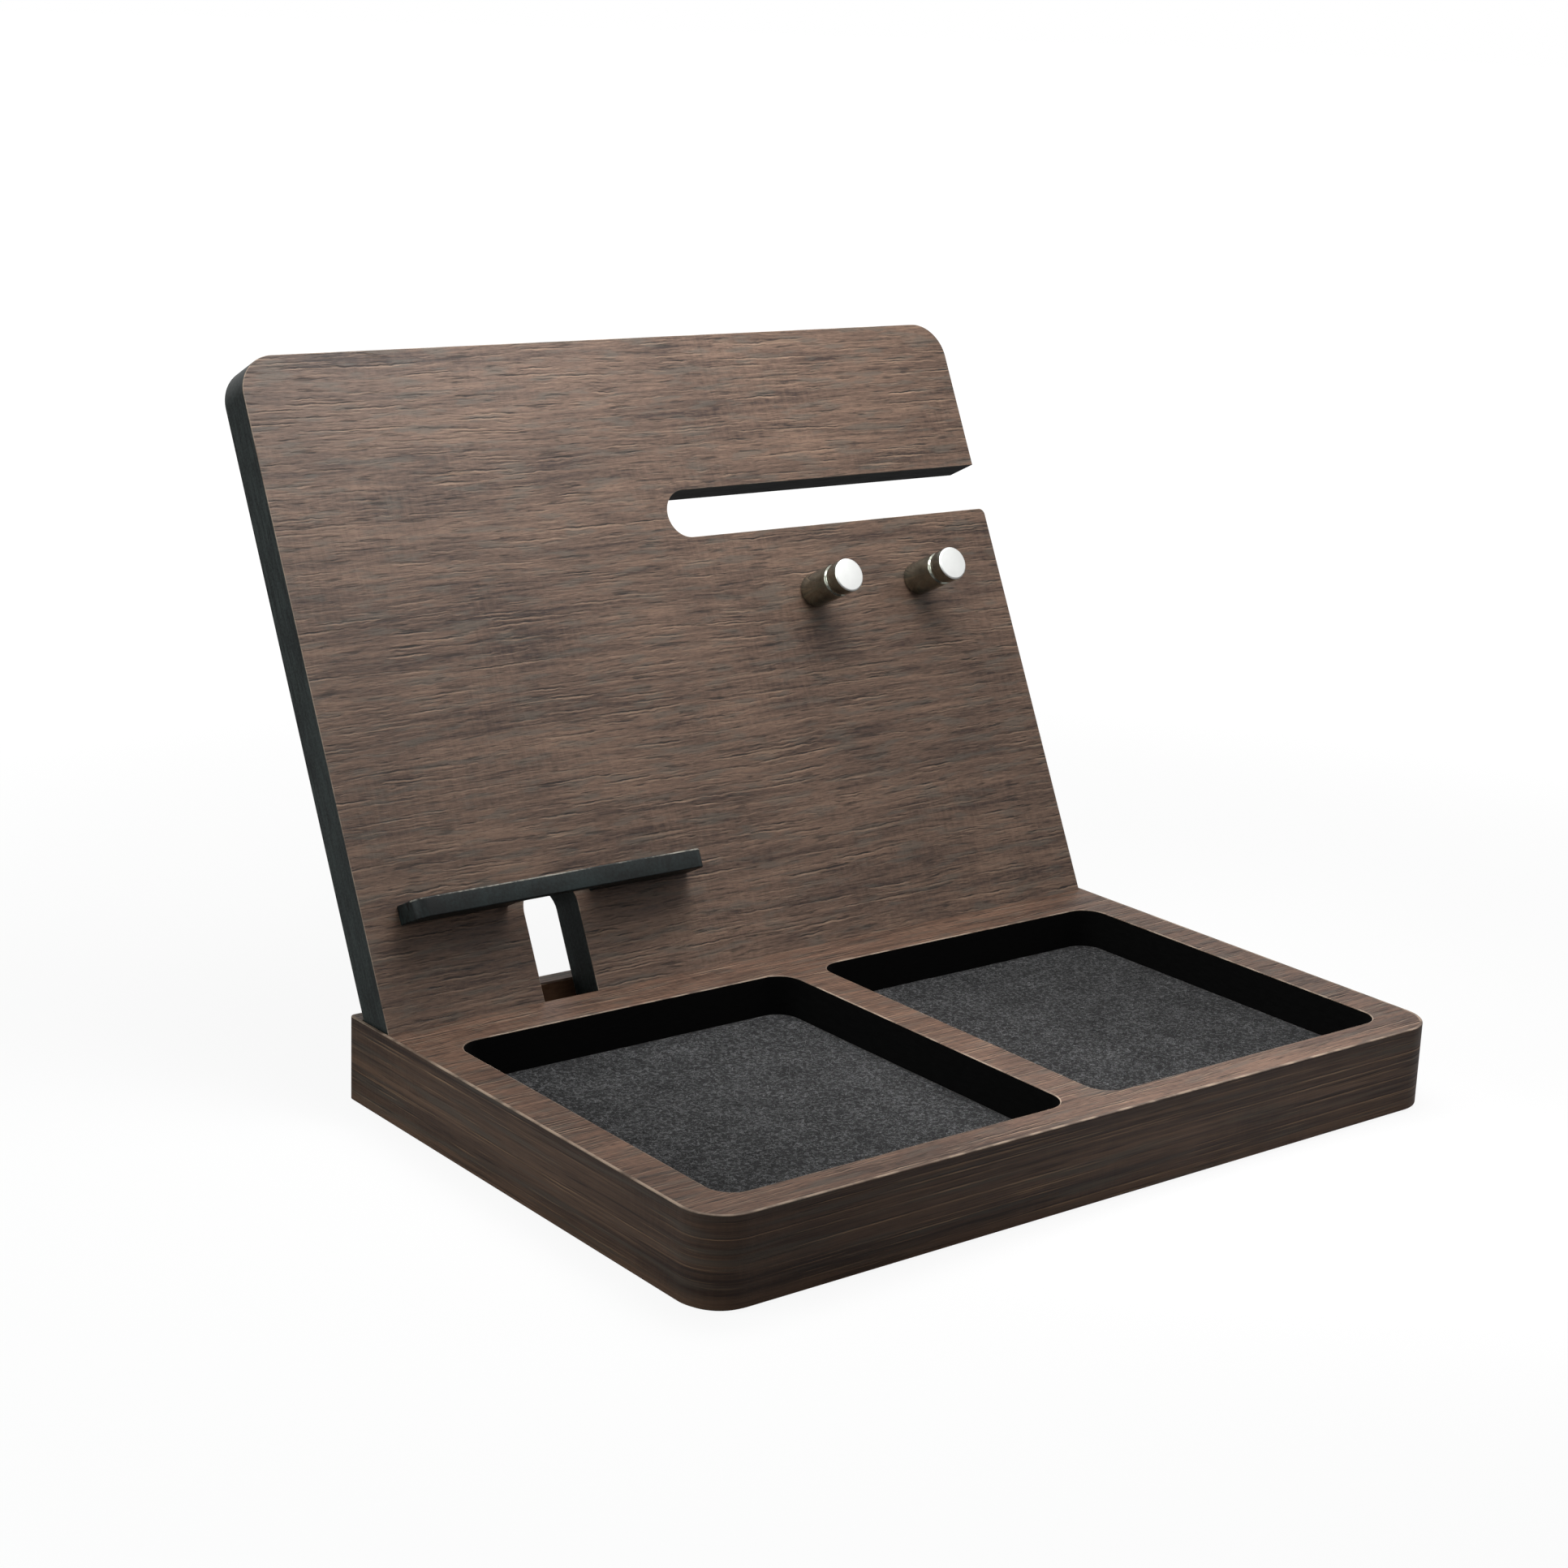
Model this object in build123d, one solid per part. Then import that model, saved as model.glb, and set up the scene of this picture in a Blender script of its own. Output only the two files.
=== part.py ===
from build123d import *

import math
import os

# Valet tray with a leaning back panel.  Millimetres, +Z up.
# The origin is the centre of the tray's underside, +X to the right and +Y to the back,
# as seen by someone who stands in front of it.

# ---------------------------------------------------------------- tray
tray_width = 300.0
tray_depth = 193.0
tray_height = 29.0            # table to the top surface, felt included
front_corner_radius = 14.0
rear_corner_radius = 2.0
least_corner_radius = 0.3     # a rear corner drawn in further than its radius keeps this
underside_felt_thickness = 1.0
underside_felt_inset = 2.0    # felt edge to the outside of the band
side_band_thickness = 1.0
band_edge_break = 0.35        # eased outer edge, top and bottom
top_veneer_thickness = 0.6

# ---------------------------------------------------------------- pockets
side_rim = 14.0               # outside of the tray to a pocket
front_rim = 12.5
divider_width = 13.5
divider_offset = 1.7          # the divider stands a little to the right of the middle
pocket_length = 140.5         # front to back
pocket_corner_radius = 8.5
pocket_depth = 13.5           # top surface to the felt
pocket_felt_thickness = 1.5
pocket_felt_clearance = 0.3   # felt edge to the pocket wall

# ---------------------------------------------------------------- back panel
panel_lean = 26.0             # degrees back from upright
panel_foot_setback = 171.0    # front of the tray to the panel's face, at the top surface
panel_height = 222.3          # along the lean, above the tray's top surface
panel_thickness = 14.0
panel_corner_radius = 13.0
panel_veneer_thickness = 0.6
panel_end_clearance = 0.5     # panel edge to the band that closes the groove
groove_depth = 13.0           # along the lean, at the panel's face
groove_clearance = 0.25       # panel face to groove wall, each side

# ---------------------------------------------------------------- watch slot
slot_bottom_height = 148.8    # along the lean, above the tray's top surface
slot_opening = 17.2
slot_length = 144.7           # panel's right edge to the round end
slot_mouth_radius = 2.5       # lower corner where the slot leaves the panel's edge

# ---------------------------------------------------------------- phone ledge and cable arch
ledge_edge_distance = 14.5    # tray's left side to the end of the ledge
ledge_width = 112.0
ledge_reach = 13.0            # out from the panel's face
ledge_thickness = 6.5
ledge_top_height = 39.3       # along the lean, above the tray's top surface
ledge_corner_radius = 4.5
ledge_edge_break = 0.5
tenon_width = 24.0
tenon_thickness = 5.0         # thinner than the ledge, so that it has a shoulder above and below
tenon_spacing = 68.0          # middle to middle
tenon_clearance = 0.15        # each side of a tenon in its mortise
notch_width = 32.0            # for the cable, at the ledge's back edge
notch_reach = 8.5
notch_corner_radius = 3.0
arch_width = 21.0
arch_crown_height = 40.0      # along the lean, above the tray's top surface

# ---------------------------------------------------------------- key pegs
peg_edge_distance = 42.5      # tray's right side to the axis of the right peg
peg_spacing = 48.5
peg_height = 124.5            # along the lean, above the tray's top surface
peg_diameter = 12.2
peg_length = 22.0
peg_edge_break = 0.5
peg_ring_distance = 16.0      # panel's face to the middle of the ring groove
peg_ring_width = 2.4
peg_ring_depth = 0.7          # also the slope of its two sides, which stand at 45 degrees

# ---------------------------------------------------------------- peg fasteners (M4)
screw_diameter = 4.0
screw_clearance = 0.05        # screw to the tapped bore in the peg, per side
screw_hole_clearance = 0.25   # screw to the hole in the panel, per side
screw_grip = 9.0              # how far the screw reaches into the peg
tapped_bore_spare = 1.5       # bore beyond the end of the screw
screw_head_diameter = 8.0
screw_head_height = 2.6
screw_socket_width = 2.5      # hexagon socket, across the flats
screw_socket_depth = 1.5
washer_diameter = 9.0
washer_thickness = 0.8
counterbore_clearance = 0.5   # washer edge to the counterbore wall
counterbore_spare = 0.6       # screw head to the panel's back face

# ---------------------------------------------------------------- places worked out from the sizes
front_edge = -tray_depth / 2
core_bottom = underside_felt_thickness
core_top = tray_height - top_veneer_thickness
pocket_floor = tray_height - pocket_depth - pocket_felt_thickness
pocket_front = front_edge + front_rim
pocket_middle_y = pocket_front + pocket_length / 2
divider_left = divider_offset - divider_width / 2
divider_right = divider_offset + divider_width / 2
panel_width = tray_width - 2 * (side_band_thickness + panel_end_clearance)
ledge_middle = ledge_edge_distance + ledge_width / 2 - tray_width / 2
slot_end = panel_width / 2 - slot_length
right_peg_middle = tray_width / 2 - peg_edge_distance
peg_middles = (right_peg_middle - peg_spacing, right_peg_middle)
counterbore_depth = washer_thickness + screw_head_height + counterbore_spare
washer_seat = counterbore_depth - panel_thickness

# The panel's plane: X to the right, Y up along the lean, Z out of the panel's face.
lean = math.radians(panel_lean)
panel_plane = Plane(
    origin=(0, front_edge + panel_foot_setback, tray_height),
    x_dir=(1, 0, 0),
    z_dir=(0, -math.cos(lean), math.sin(lean)),
)


# ---------------------------------------------------------------- shared outlines
def tray_outline(inset):
    """Outline of the tray, drawn in by inset all round."""
    half_width = tray_width / 2 - inset
    half_depth = tray_depth / 2 - inset
    face = Rectangle(2 * half_width, 2 * half_depth)
    front = face.vertices().filter_by(lambda corner: corner.Y < 0)
    face = fillet(front, front_corner_radius - inset)
    rear = face.vertices().group_by(Axis.Y)[-1]
    return fillet(rear, max(rear_corner_radius - inset, least_corner_radius))


def slab(outline, bottom, top):
    """A flat solid of one outline between two heights."""
    return extrude(Pos(0, 0, bottom) * outline, top - bottom)


def pocket_outline(left, right, clearance=0.0):
    """Rounded rectangle of a pocket, smaller by a clearance all round."""
    width = right - left - 2 * clearance
    length = pocket_length - 2 * clearance
    outline = RectangleRounded(width, length, pocket_corner_radius - clearance)
    return Pos((left + right) / 2, pocket_middle_y) * outline


def pocket_sides():
    """Left and right edge of each pocket, the left pocket first."""
    wall = tray_width / 2 - side_rim
    return ((-wall, divider_left), (divider_right, wall))


def groove():
    """Slanted groove for the panel, open at the top and at both ends."""
    opening = panel_thickness + 2 * groove_clearance
    reach = groove_depth + 2 * panel_thickness
    blank = Box(2 * tray_width, reach, opening, align=(Align.CENTER, Align.MIN, Align.MAX))
    return panel_plane * Pos(0, -groove_depth, groove_clearance) * blank


# ---------------------------------------------------------------- tray pieces
def tray_core():
    """Board of the base, with the pockets and the groove milled in."""
    core = slab(tray_outline(side_band_thickness), core_bottom, core_top)
    for left, right in pocket_sides():
        core -= slab(pocket_outline(left, right), pocket_floor, tray_height)
    return core - groove()


def tray_top_veneers():
    """Veneer on the top surface, parted by the groove: the front sheet, then the rear strip."""
    sheet = slab(tray_outline(side_band_thickness), core_top, tray_height)
    for left, right in pocket_sides():
        sheet -= slab(pocket_outline(left, right), core_bottom, tray_height)
    sheet -= groove()
    return sheet.solids().sort_by(Axis.Y)


def tray_side_band():
    """Band round the four sides, with its outer edges eased."""
    outside = slab(tray_outline(0), core_bottom, tray_height)
    rims = outside.faces().filter_by(Axis.Z).edges()
    outside = chamfer(rims, band_edge_break)
    return outside - slab(tray_outline(side_band_thickness), core_bottom, tray_height)


def pocket_felt(left, right):
    """Felt sheet on the floor of one pocket."""
    outline = pocket_outline(left, right, pocket_felt_clearance)
    return slab(outline, pocket_floor, pocket_floor + pocket_felt_thickness)


def underside_felt():
    """Felt sheet under the tray."""
    return slab(tray_outline(underside_felt_inset), 0, underside_felt_thickness)


# ---------------------------------------------------------------- panel pieces
def panel_outline():
    """Front view of the panel before anything is cut out of it."""
    face = Rectangle(panel_width, panel_height + groove_depth, align=(Align.CENTER, Align.MIN))
    face = Pos(0, -groove_depth) * face
    top = face.vertices().group_by(Axis.Y)[-1]
    return fillet(top, panel_corner_radius)


def slot_outline():
    """Watch slot: round at its inner end, open at the right edge, its lower lip rounded."""
    radius = slot_opening / 2
    edge = panel_width / 2
    middle = slot_bottom_height + radius
    length = edge + slot_mouth_radius - slot_end - radius
    bore = Pos(slot_end + radius, middle) * Circle(radius)
    mouth = Pos(slot_end + radius, middle) * Rectangle(
        length, slot_opening, align=(Align.MIN, Align.CENTER)
    )
    lip_corner = Pos(edge, slot_bottom_height) * Rectangle(2 * slot_mouth_radius, 2 * slot_mouth_radius)
    lip_round = Pos(edge - slot_mouth_radius, slot_bottom_height - slot_mouth_radius) * Circle(
        slot_mouth_radius
    )
    lip_keep = Pos(edge - slot_mouth_radius, slot_bottom_height) * Rectangle(
        slot_mouth_radius, 2 * slot_mouth_radius, align=(Align.MAX, Align.MAX)
    )
    return bore + mouth + (lip_corner - lip_round - lip_keep)


def arch_outline():
    """Cable arch: open at the foot of the panel, round at its crown."""
    radius = arch_width / 2
    spring_line = arch_crown_height - radius
    foot = -groove_depth
    legs = Pos(ledge_middle, foot) * Rectangle(
        arch_width, spring_line - foot, align=(Align.CENTER, Align.MIN)
    )
    return legs + Pos(ledge_middle, spring_line) * Circle(radius)


def tenon_centres():
    """Middle of each tenon, across the panel."""
    return (ledge_middle - tenon_spacing / 2, ledge_middle + tenon_spacing / 2)


def mortise_outlines():
    """Openings in the panel for the ledge's tenons."""
    middle = ledge_top_height - ledge_thickness / 2
    width = tenon_width + 2 * tenon_clearance
    height = tenon_thickness + 2 * tenon_clearance
    return [Pos(x, middle) * Rectangle(width, height) for x in tenon_centres()]


def panel_face():
    """Front view of the panel with its openings."""
    face = panel_outline() - slot_outline() - arch_outline()
    for mortise in mortise_outlines():
        face -= mortise
    return face


def panel_sheet(back, front):
    """One layer of the panel, between two distances from its face."""
    return extrude(panel_plane * Pos(0, 0, back) * panel_face(), front - back)


def at_pegs(piece):
    """Copies of a piece that is drawn on a peg's axis, one at each peg."""
    return [panel_plane * Pos(x, peg_height, 0) * piece for x in peg_middles]


def axis_disc(diameter, back, front):
    """Round solid on a peg's axis, between two distances from the panel's face."""
    disc = Cylinder(diameter / 2, front - back, align=(Align.CENTER, Align.CENTER, Align.MIN))
    return Pos(0, 0, back) * disc


def screw_way():
    """Hole through the panel for a peg's screw, with its counterbore from behind."""
    hole = axis_disc(screw_diameter + 2 * screw_hole_clearance, -2 * panel_thickness, panel_thickness)
    recess_diameter = washer_diameter + 2 * counterbore_clearance
    return hole + axis_disc(recess_diameter, -2 * panel_thickness, washer_seat)


def drilled(sheet):
    """A layer of the panel with the screw ways cut through it."""
    for way in at_pegs(screw_way()):
        sheet -= way
    return sheet


def panel_core():
    """Board of the panel."""
    return drilled(panel_sheet(panel_veneer_thickness - panel_thickness, -panel_veneer_thickness))


def panel_front_veneer():
    """Veneer on the panel's face."""
    return drilled(panel_sheet(-panel_veneer_thickness, 0))


def panel_rear_veneer():
    """Veneer on the panel's back."""
    return drilled(panel_sheet(-panel_thickness, panel_veneer_thickness - panel_thickness))


# ---------------------------------------------------------------- pegs and their fasteners
def key_peg():
    """Turned peg: eased rims, a ring groove near its head and a tapped bore behind."""
    radius = peg_diameter / 2
    ring_back = peg_ring_distance - peg_ring_width / 2
    ring_front = peg_ring_distance + peg_ring_width / 2
    ring_radius = radius - peg_ring_depth
    profile = Polyline(
        (0, 0),
        (radius - peg_edge_break, 0),
        (radius, peg_edge_break),
        (radius, ring_back),
        (ring_radius, ring_back + peg_ring_depth),
        (ring_radius, ring_front - peg_ring_depth),
        (radius, ring_front),
        (radius, peg_length - peg_edge_break),
        (radius - peg_edge_break, peg_length),
        (0, peg_length),
        (0, 0),
    )
    turned = revolve(Plane.XZ * make_face(profile), Axis.Z)
    bore_diameter = screw_diameter + 2 * screw_clearance
    return turned - axis_disc(bore_diameter, 0, screw_grip + tapped_bore_spare)


def peg_screw():
    """Socket-head screw, from its seat on the washer into the peg."""
    seat = washer_seat - washer_thickness
    head = axis_disc(screw_head_diameter, seat - screw_head_height, seat)
    socket = RegularPolygon(screw_socket_width / 2, 6, major_radius=False)
    head -= Pos(0, 0, seat - screw_head_height) * extrude(socket, screw_socket_depth)
    return head + axis_disc(screw_diameter, seat, screw_grip)


def peg_washer():
    """Flat washer between the counterbore and the screw head."""
    ring = axis_disc(washer_diameter, washer_seat - washer_thickness, washer_seat)
    hole_diameter = screw_diameter + 2 * screw_hole_clearance
    return ring - axis_disc(hole_diameter, washer_seat - 2 * washer_thickness, washer_seat)


# ---------------------------------------------------------------- ledge
def ledge_outline():
    """Plan of the ledge: X along it, Y out of the panel's face, rounded front corners."""
    board = Rectangle(ledge_width, ledge_reach, align=(Align.CENTER, Align.MIN))
    front = board.vertices().group_by(Axis.Y)[-1]
    board = fillet(front, ledge_corner_radius)
    notch = RectangleRounded(notch_width, 2 * notch_reach, notch_corner_radius)
    return board - notch


def phone_ledge():
    """Ledge board with its front edges eased, and the tenons that hold it in the panel."""
    board = extrude(ledge_outline(), ledge_thickness)
    rims = board.edges().filter_by(lambda edge: edge.center().Y > ledge_reach - ledge_corner_radius)
    rims = rims.filter_by(Axis.Z, reverse=True)
    board = chamfer(rims, ledge_edge_break)
    tenon = Box(
        tenon_width,
        panel_thickness,
        tenon_thickness,
        align=(Align.CENTER, Align.MAX, Align.CENTER),
    )
    for centre in tenon_centres():
        board += Pos(centre - ledge_middle, 0, ledge_thickness / 2) * tenon
    # The plan is drawn lying down: stood on the panel, its Y points out of the panel's face
    # and its thickness runs down the lean from the top of the ledge.
    stood = Pos(ledge_middle, ledge_top_height, 0) * Rot(90, 0, 0) * board
    return panel_plane * stood


# ---------------------------------------------------------------- output
def write(name, *solids):
    """Write one node: a single piece, or a group of identical fasteners."""
    shape = solids[0] if len(solids) == 1 else Compound(children=list(solids))
    export_step(shape, f"parts/{name}.step")


def main():
    """Build every piece and write one file for each."""
    os.makedirs("parts", exist_ok=True)
    write("tray_core", tray_core())
    for name, sheet in zip(("tray_top_veneer", "tray_rear_veneer"), tray_top_veneers()):
        write(name, sheet)
    write("tray_side_band", tray_side_band())
    for name, (left, right) in zip(("left_pocket_felt", "right_pocket_felt"), pocket_sides()):
        write(name, pocket_felt(left, right))
    write("underside_felt", underside_felt())
    write("panel_core", panel_core())
    write("panel_front_veneer", panel_front_veneer())
    write("panel_rear_veneer", panel_rear_veneer())
    for name, peg in zip(("left_key_peg", "right_key_peg"), at_pegs(key_peg())):
        write(name, peg)
    write("peg_screws", *at_pegs(peg_screw()))
    write("peg_washers", *at_pegs(peg_washer()))
    write("phone_ledge", phone_ledge())


main()
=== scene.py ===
"""Walnut valet tray with a leaning back panel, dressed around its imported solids.

Lengths are in metres. The origin is the middle of the tray's underside, +X to the right, +Y to
the back and +Z up. Pieces of the back panel are modelled lying down, in the panel's own
directions: X to the right, Y up along the lean and Z out of the panel's face. They are then
stood up in one step, so that every finished mesh lies where its solid lies.
"""

import logging
import math
import random
from collections.abc import Callable, Iterator, Sequence
from contextlib import contextmanager
from dataclasses import dataclass
from enum import Enum
from functools import partial

import bmesh
import bpy
from bmesh.types import BMEdge
from bpy.types import Curve, Material, Node, NodeSocket, Object, World
from mathutils import Euler, Matrix, Vector

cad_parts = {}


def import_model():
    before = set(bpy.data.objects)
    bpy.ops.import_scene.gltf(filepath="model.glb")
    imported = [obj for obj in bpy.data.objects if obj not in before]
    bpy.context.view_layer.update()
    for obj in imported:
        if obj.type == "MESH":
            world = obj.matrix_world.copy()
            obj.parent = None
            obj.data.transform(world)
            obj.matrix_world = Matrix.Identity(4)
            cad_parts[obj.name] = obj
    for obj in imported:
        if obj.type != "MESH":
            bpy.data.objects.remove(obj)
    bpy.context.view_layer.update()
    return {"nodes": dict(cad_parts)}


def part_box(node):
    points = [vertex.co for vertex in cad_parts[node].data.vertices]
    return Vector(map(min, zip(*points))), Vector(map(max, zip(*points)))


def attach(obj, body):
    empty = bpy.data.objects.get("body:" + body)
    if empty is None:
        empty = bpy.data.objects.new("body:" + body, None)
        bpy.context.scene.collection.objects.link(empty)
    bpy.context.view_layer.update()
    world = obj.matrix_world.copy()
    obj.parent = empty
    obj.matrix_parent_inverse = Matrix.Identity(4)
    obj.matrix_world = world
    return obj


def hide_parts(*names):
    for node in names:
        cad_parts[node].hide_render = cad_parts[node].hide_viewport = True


MM = 0.001
NEAR = 0.02 * MM                 # two places closer than this are the same
SMOOTH_LIMIT = math.radians(12)  # edges of a flat piece that turn by more stay sharp
ARRIS_STEPS = 3                  # flats that make a small round
FLAT = 0.98                      # outward part of the normal on a veneer's outer face
ROUND = 0.05                     # and the least on its round arris
Colour = tuple[float, float, float]
Place = tuple[float, float, float]

log = logging.getLogger("valet_tray")


def screen_colour(red: int, green: int, blue: int) -> Colour:
    """Linear colour of a colour given as three 8-bit screen values.

    Args:
        red: Red, from 0 to 255.
        green: Green, from 0 to 255.
        blue: Blue, from 0 to 255.

    Returns:
        The three linear values that a shader takes.
    """
    linear = []
    for value in (red, green, blue):
        share = value / 255
        linear.append(share / 12.92 if share < 0.04045 else ((share + 0.055) / 1.055) ** 2.4)
    return tuple(linear)


class Body(Enum):
    """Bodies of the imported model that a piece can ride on."""

    TRAY = "tray"
    PANEL = "back_panel"
    LEDGE = "phone_ledge"


# ---------------------------------------------------------------- modelling steps
class Bench:
    """Modelling operators, each used on one piece at a time as they are by hand."""

    @staticmethod
    def alone(piece: Object) -> None:
        """Makes a piece the only selected one, and the active one.

        Args:
            piece: The piece.
        """
        bpy.ops.object.select_all(action="DESELECT")
        piece.select_set(True)
        bpy.context.view_layer.objects.active = piece

    @staticmethod
    def settle(name: str) -> Object:
        """Names the new primitive and moves its place and size into its mesh.

        Args:
            name: Name of the piece.

        Returns:
            The piece, with its object at the origin.
        """
        piece = bpy.context.active_object
        piece.name = name
        piece.data.name = name
        bpy.ops.object.transform_apply(location=True, rotation=True, scale=True)
        return piece

    @staticmethod
    def block(name: str, low: Place, high: Place) -> Object:
        """Adds a block between two corners.

        Args:
            name: Name of the piece.
            low: Lowest corner.
            high: Highest corner.

        Returns:
            The block.
        """
        bpy.ops.object.select_all(action="DESELECT")
        centre = [(a + b) / 2 for a, b in zip(low, high)]
        size = [b - a for a, b in zip(low, high)]
        bpy.ops.mesh.primitive_cube_add(size=1, location=centre, scale=size)
        return Bench.settle(name)

    @staticmethod
    def rod(name: str, radius: float, foot: Place, length: float, sides: int) -> Object:
        """Adds a round rod that stands on its foot, along Z.

        Args:
            name: Name of the piece.
            radius: Radius of the rod.
            foot: Middle of its lower end.
            length: Length along Z.
            sides: Number of sides.

        Returns:
            The rod.
        """
        bpy.ops.object.select_all(action="DESELECT")
        middle = (foot[0], foot[1], foot[2] + length / 2)
        bpy.ops.mesh.primitive_cylinder_add(
            vertices=sides, radius=radius, depth=length, location=middle
        )
        return Bench.settle(name)

    @staticmethod
    @contextmanager
    def editing(piece: Object) -> Iterator[None]:
        """Opens a piece in edit mode with nothing selected, and closes it again.

        Args:
            piece: The piece to edit.

        Yields:
            Nothing: the piece stays open while the block runs.
        """
        Bench.alone(piece)
        bpy.ops.object.mode_set(mode="EDIT")
        bpy.ops.mesh.select_all(action="DESELECT")
        yield
        bpy.ops.object.mode_set(mode="OBJECT")

    @staticmethod
    def choose_edges(piece: Object, wanted: Callable[[BMEdge], bool]) -> None:
        """Selects the edges that pass a test, in edit mode.

        Args:
            piece: The piece that is open in edit mode.
            wanted: Says whether an edge is selected.
        """
        bpy.context.tool_settings.mesh_select_mode = (False, True, False)
        mesh = bmesh.from_edit_mesh(piece.data)
        for edge in mesh.edges:
            if wanted(edge):
                edge.select_set(True)
        bmesh.update_edit_mesh(piece.data)

    @staticmethod
    def round_edges(
        piece: Object,
        wanted: Callable[[BMEdge], bool],
        width: float,
        steps: int = ARRIS_STEPS,
    ) -> None:
        """Bevels the edges that pass a test.

        Args:
            piece: The piece.
            wanted: Says whether an edge is bevelled.
            width: Radius of the round edge.
            steps: Number of flats that make the round.
        """
        with Bench.editing(piece):
            Bench.choose_edges(piece, wanted)
            bpy.ops.mesh.bevel(offset=width, segments=steps, affect="EDGES", clamp_overlap=True)

    @staticmethod
    def round_corners(piece: Object, y: float, radius: float, steps: int) -> None:
        """Rounds the upright edges of a block that stand at one place along Y.

        Args:
            piece: The block.
            y: Where the edges stand.
            radius: Radius of the corners.
            steps: Number of flats that make each corner.
        """
        Bench.round_edges(
            piece,
            lambda edge: is_upright(edge) and ends(edge, lambda co: close(co.y, y)),
            radius,
            steps,
        )

    @staticmethod
    def apply(piece: Object, kind: str, **settings: object) -> None:
        """Adds one modifier with its settings and applies it.

        Args:
            piece: The piece.
            kind: Type of the modifier.
            **settings: Values of the modifier.
        """
        Bench.alone(piece)
        modifier = piece.modifiers.new(kind.lower(), kind)
        for name, value in settings.items():
            setattr(modifier, name, value)
        bpy.ops.object.modifier_apply(modifier=modifier.name)

    @staticmethod
    def combine(piece: Object, operation: str, *tools: Object) -> None:
        """Cuts tools out of a piece, or joins them to it, and merges what is flat.

        Args:
            piece: The piece.
            operation: "DIFFERENCE" or "UNION".
            *tools: The blocks and rods to use, which are then gone.
        """
        for tool in tools:
            Bench.apply(piece, "BOOLEAN", operation=operation, solver="EXACT", object=tool)
            bpy.data.objects.remove(tool, do_unlink=True)
        with Bench.editing(piece):
            bpy.ops.mesh.select_all(action="SELECT")
            bpy.ops.mesh.remove_doubles(threshold=NEAR / 10)
            bpy.ops.mesh.dissolve_limited(angle_limit=math.radians(0.3))

    @staticmethod
    def slice_up(piece: Object, along: Vector, places: Sequence[float]) -> None:
        """Cuts new edges across a piece at several places along one direction.

        Args:
            piece: The piece.
            along: Direction across which the cuts lie.
            places: Distance of each cut from the origin.
        """
        with Bench.editing(piece):
            for place in places:
                bpy.ops.mesh.select_all(action="SELECT")
                bpy.ops.mesh.bisect(plane_co=along * place, plane_no=along)

    @staticmethod
    def copy_of(piece: Object, name: str, offset: Vector) -> Object:
        """Copies a piece, with a mesh of its own, and moves the copy.

        Args:
            piece: The piece to copy.
            name: Name of the copy.
            offset: How far the copy is moved.

        Returns:
            The copy.
        """
        Bench.alone(piece)
        bpy.ops.object.duplicate(linked=False)
        copy = bpy.context.active_object
        copy.name = name
        copy.data.name = name
        copy.location = offset
        bpy.ops.object.transform_apply(location=True, rotation=False, scale=False)
        return copy

    @staticmethod
    def join(piece: Object, *others: Object) -> None:
        """Joins other pieces into one piece, where their solids stay apart.

        Args:
            piece: The piece that keeps its name.
            *others: The pieces that become part of it.
        """
        Bench.alone(piece)
        for other in others:
            other.select_set(True)
        bpy.ops.object.join()

    @staticmethod
    def paint(
        piece: Object,
        finishes: Sequence[Material],
        choice: Callable[[Vector, Vector], int] | None = None,
    ) -> None:
        """Gives a piece its finishes, face by face.

        Args:
            piece: The piece.
            finishes: Its materials, in order.
            choice: Number of the finish for a face, from its middle and its normal.
        """
        piece.data.materials.clear()
        for finish in finishes:
            piece.data.materials.append(finish)
        if choice is None:
            return
        for face in piece.data.polygons:
            face.material_index = choice(face.center, face.normal)

    @staticmethod
    def smooth(piece: Object, limit: float = SMOOTH_LIMIT) -> None:
        """Shades a piece smooth, but for the edges that turn by more than a limit.

        Args:
            piece: The piece.
            limit: The limit, in radians.
        """
        Bench.alone(piece)
        bpy.ops.object.shade_smooth_by_angle(angle=limit)

    @staticmethod
    def face_out(piece: Object) -> None:
        """Turns every face of a closed piece outwards.

        Args:
            piece: The piece.
        """
        with Bench.editing(piece):
            bpy.ops.mesh.select_all(action="SELECT")
            bpy.ops.mesh.normals_make_consistent(inside=False)


def ends(edge: BMEdge, test: Callable[[Vector], bool]) -> bool:
    """Says whether both ends of an edge pass a test."""
    return all(test(corner.co) for corner in edge.verts)


def is_arris(edge: BMEdge) -> bool:
    """Says whether two faces meet at an edge about square to each other."""
    return len(edge.link_faces) == 2 and edge.calc_face_angle() > math.radians(60)


def is_upright(edge: BMEdge) -> bool:
    """Says whether an edge's ends lie at different places along Z."""
    return not close(edge.verts[0].co.z, edge.verts[1].co.z)


def close(one: float, other: float) -> bool:
    """Says whether two lengths are the same."""
    return abs(one - other) < NEAR


def veneer_part(middle: Vector, normal: Vector, out: int = 1) -> int:
    """Number of a veneer's finish: 0 on its outer face, 1 on its round arrises, 2 elsewhere.

    Args:
        middle: Middle of a face.
        normal: Its normal.
        out: 1 for a veneer that looks along +Z, and -1 for one that looks along -Z.

    Returns:
        The number of the finish.
    """
    slope = normal.z * out
    return 0 if slope > FLAT else 1 if slope > ROUND else 2


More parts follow.
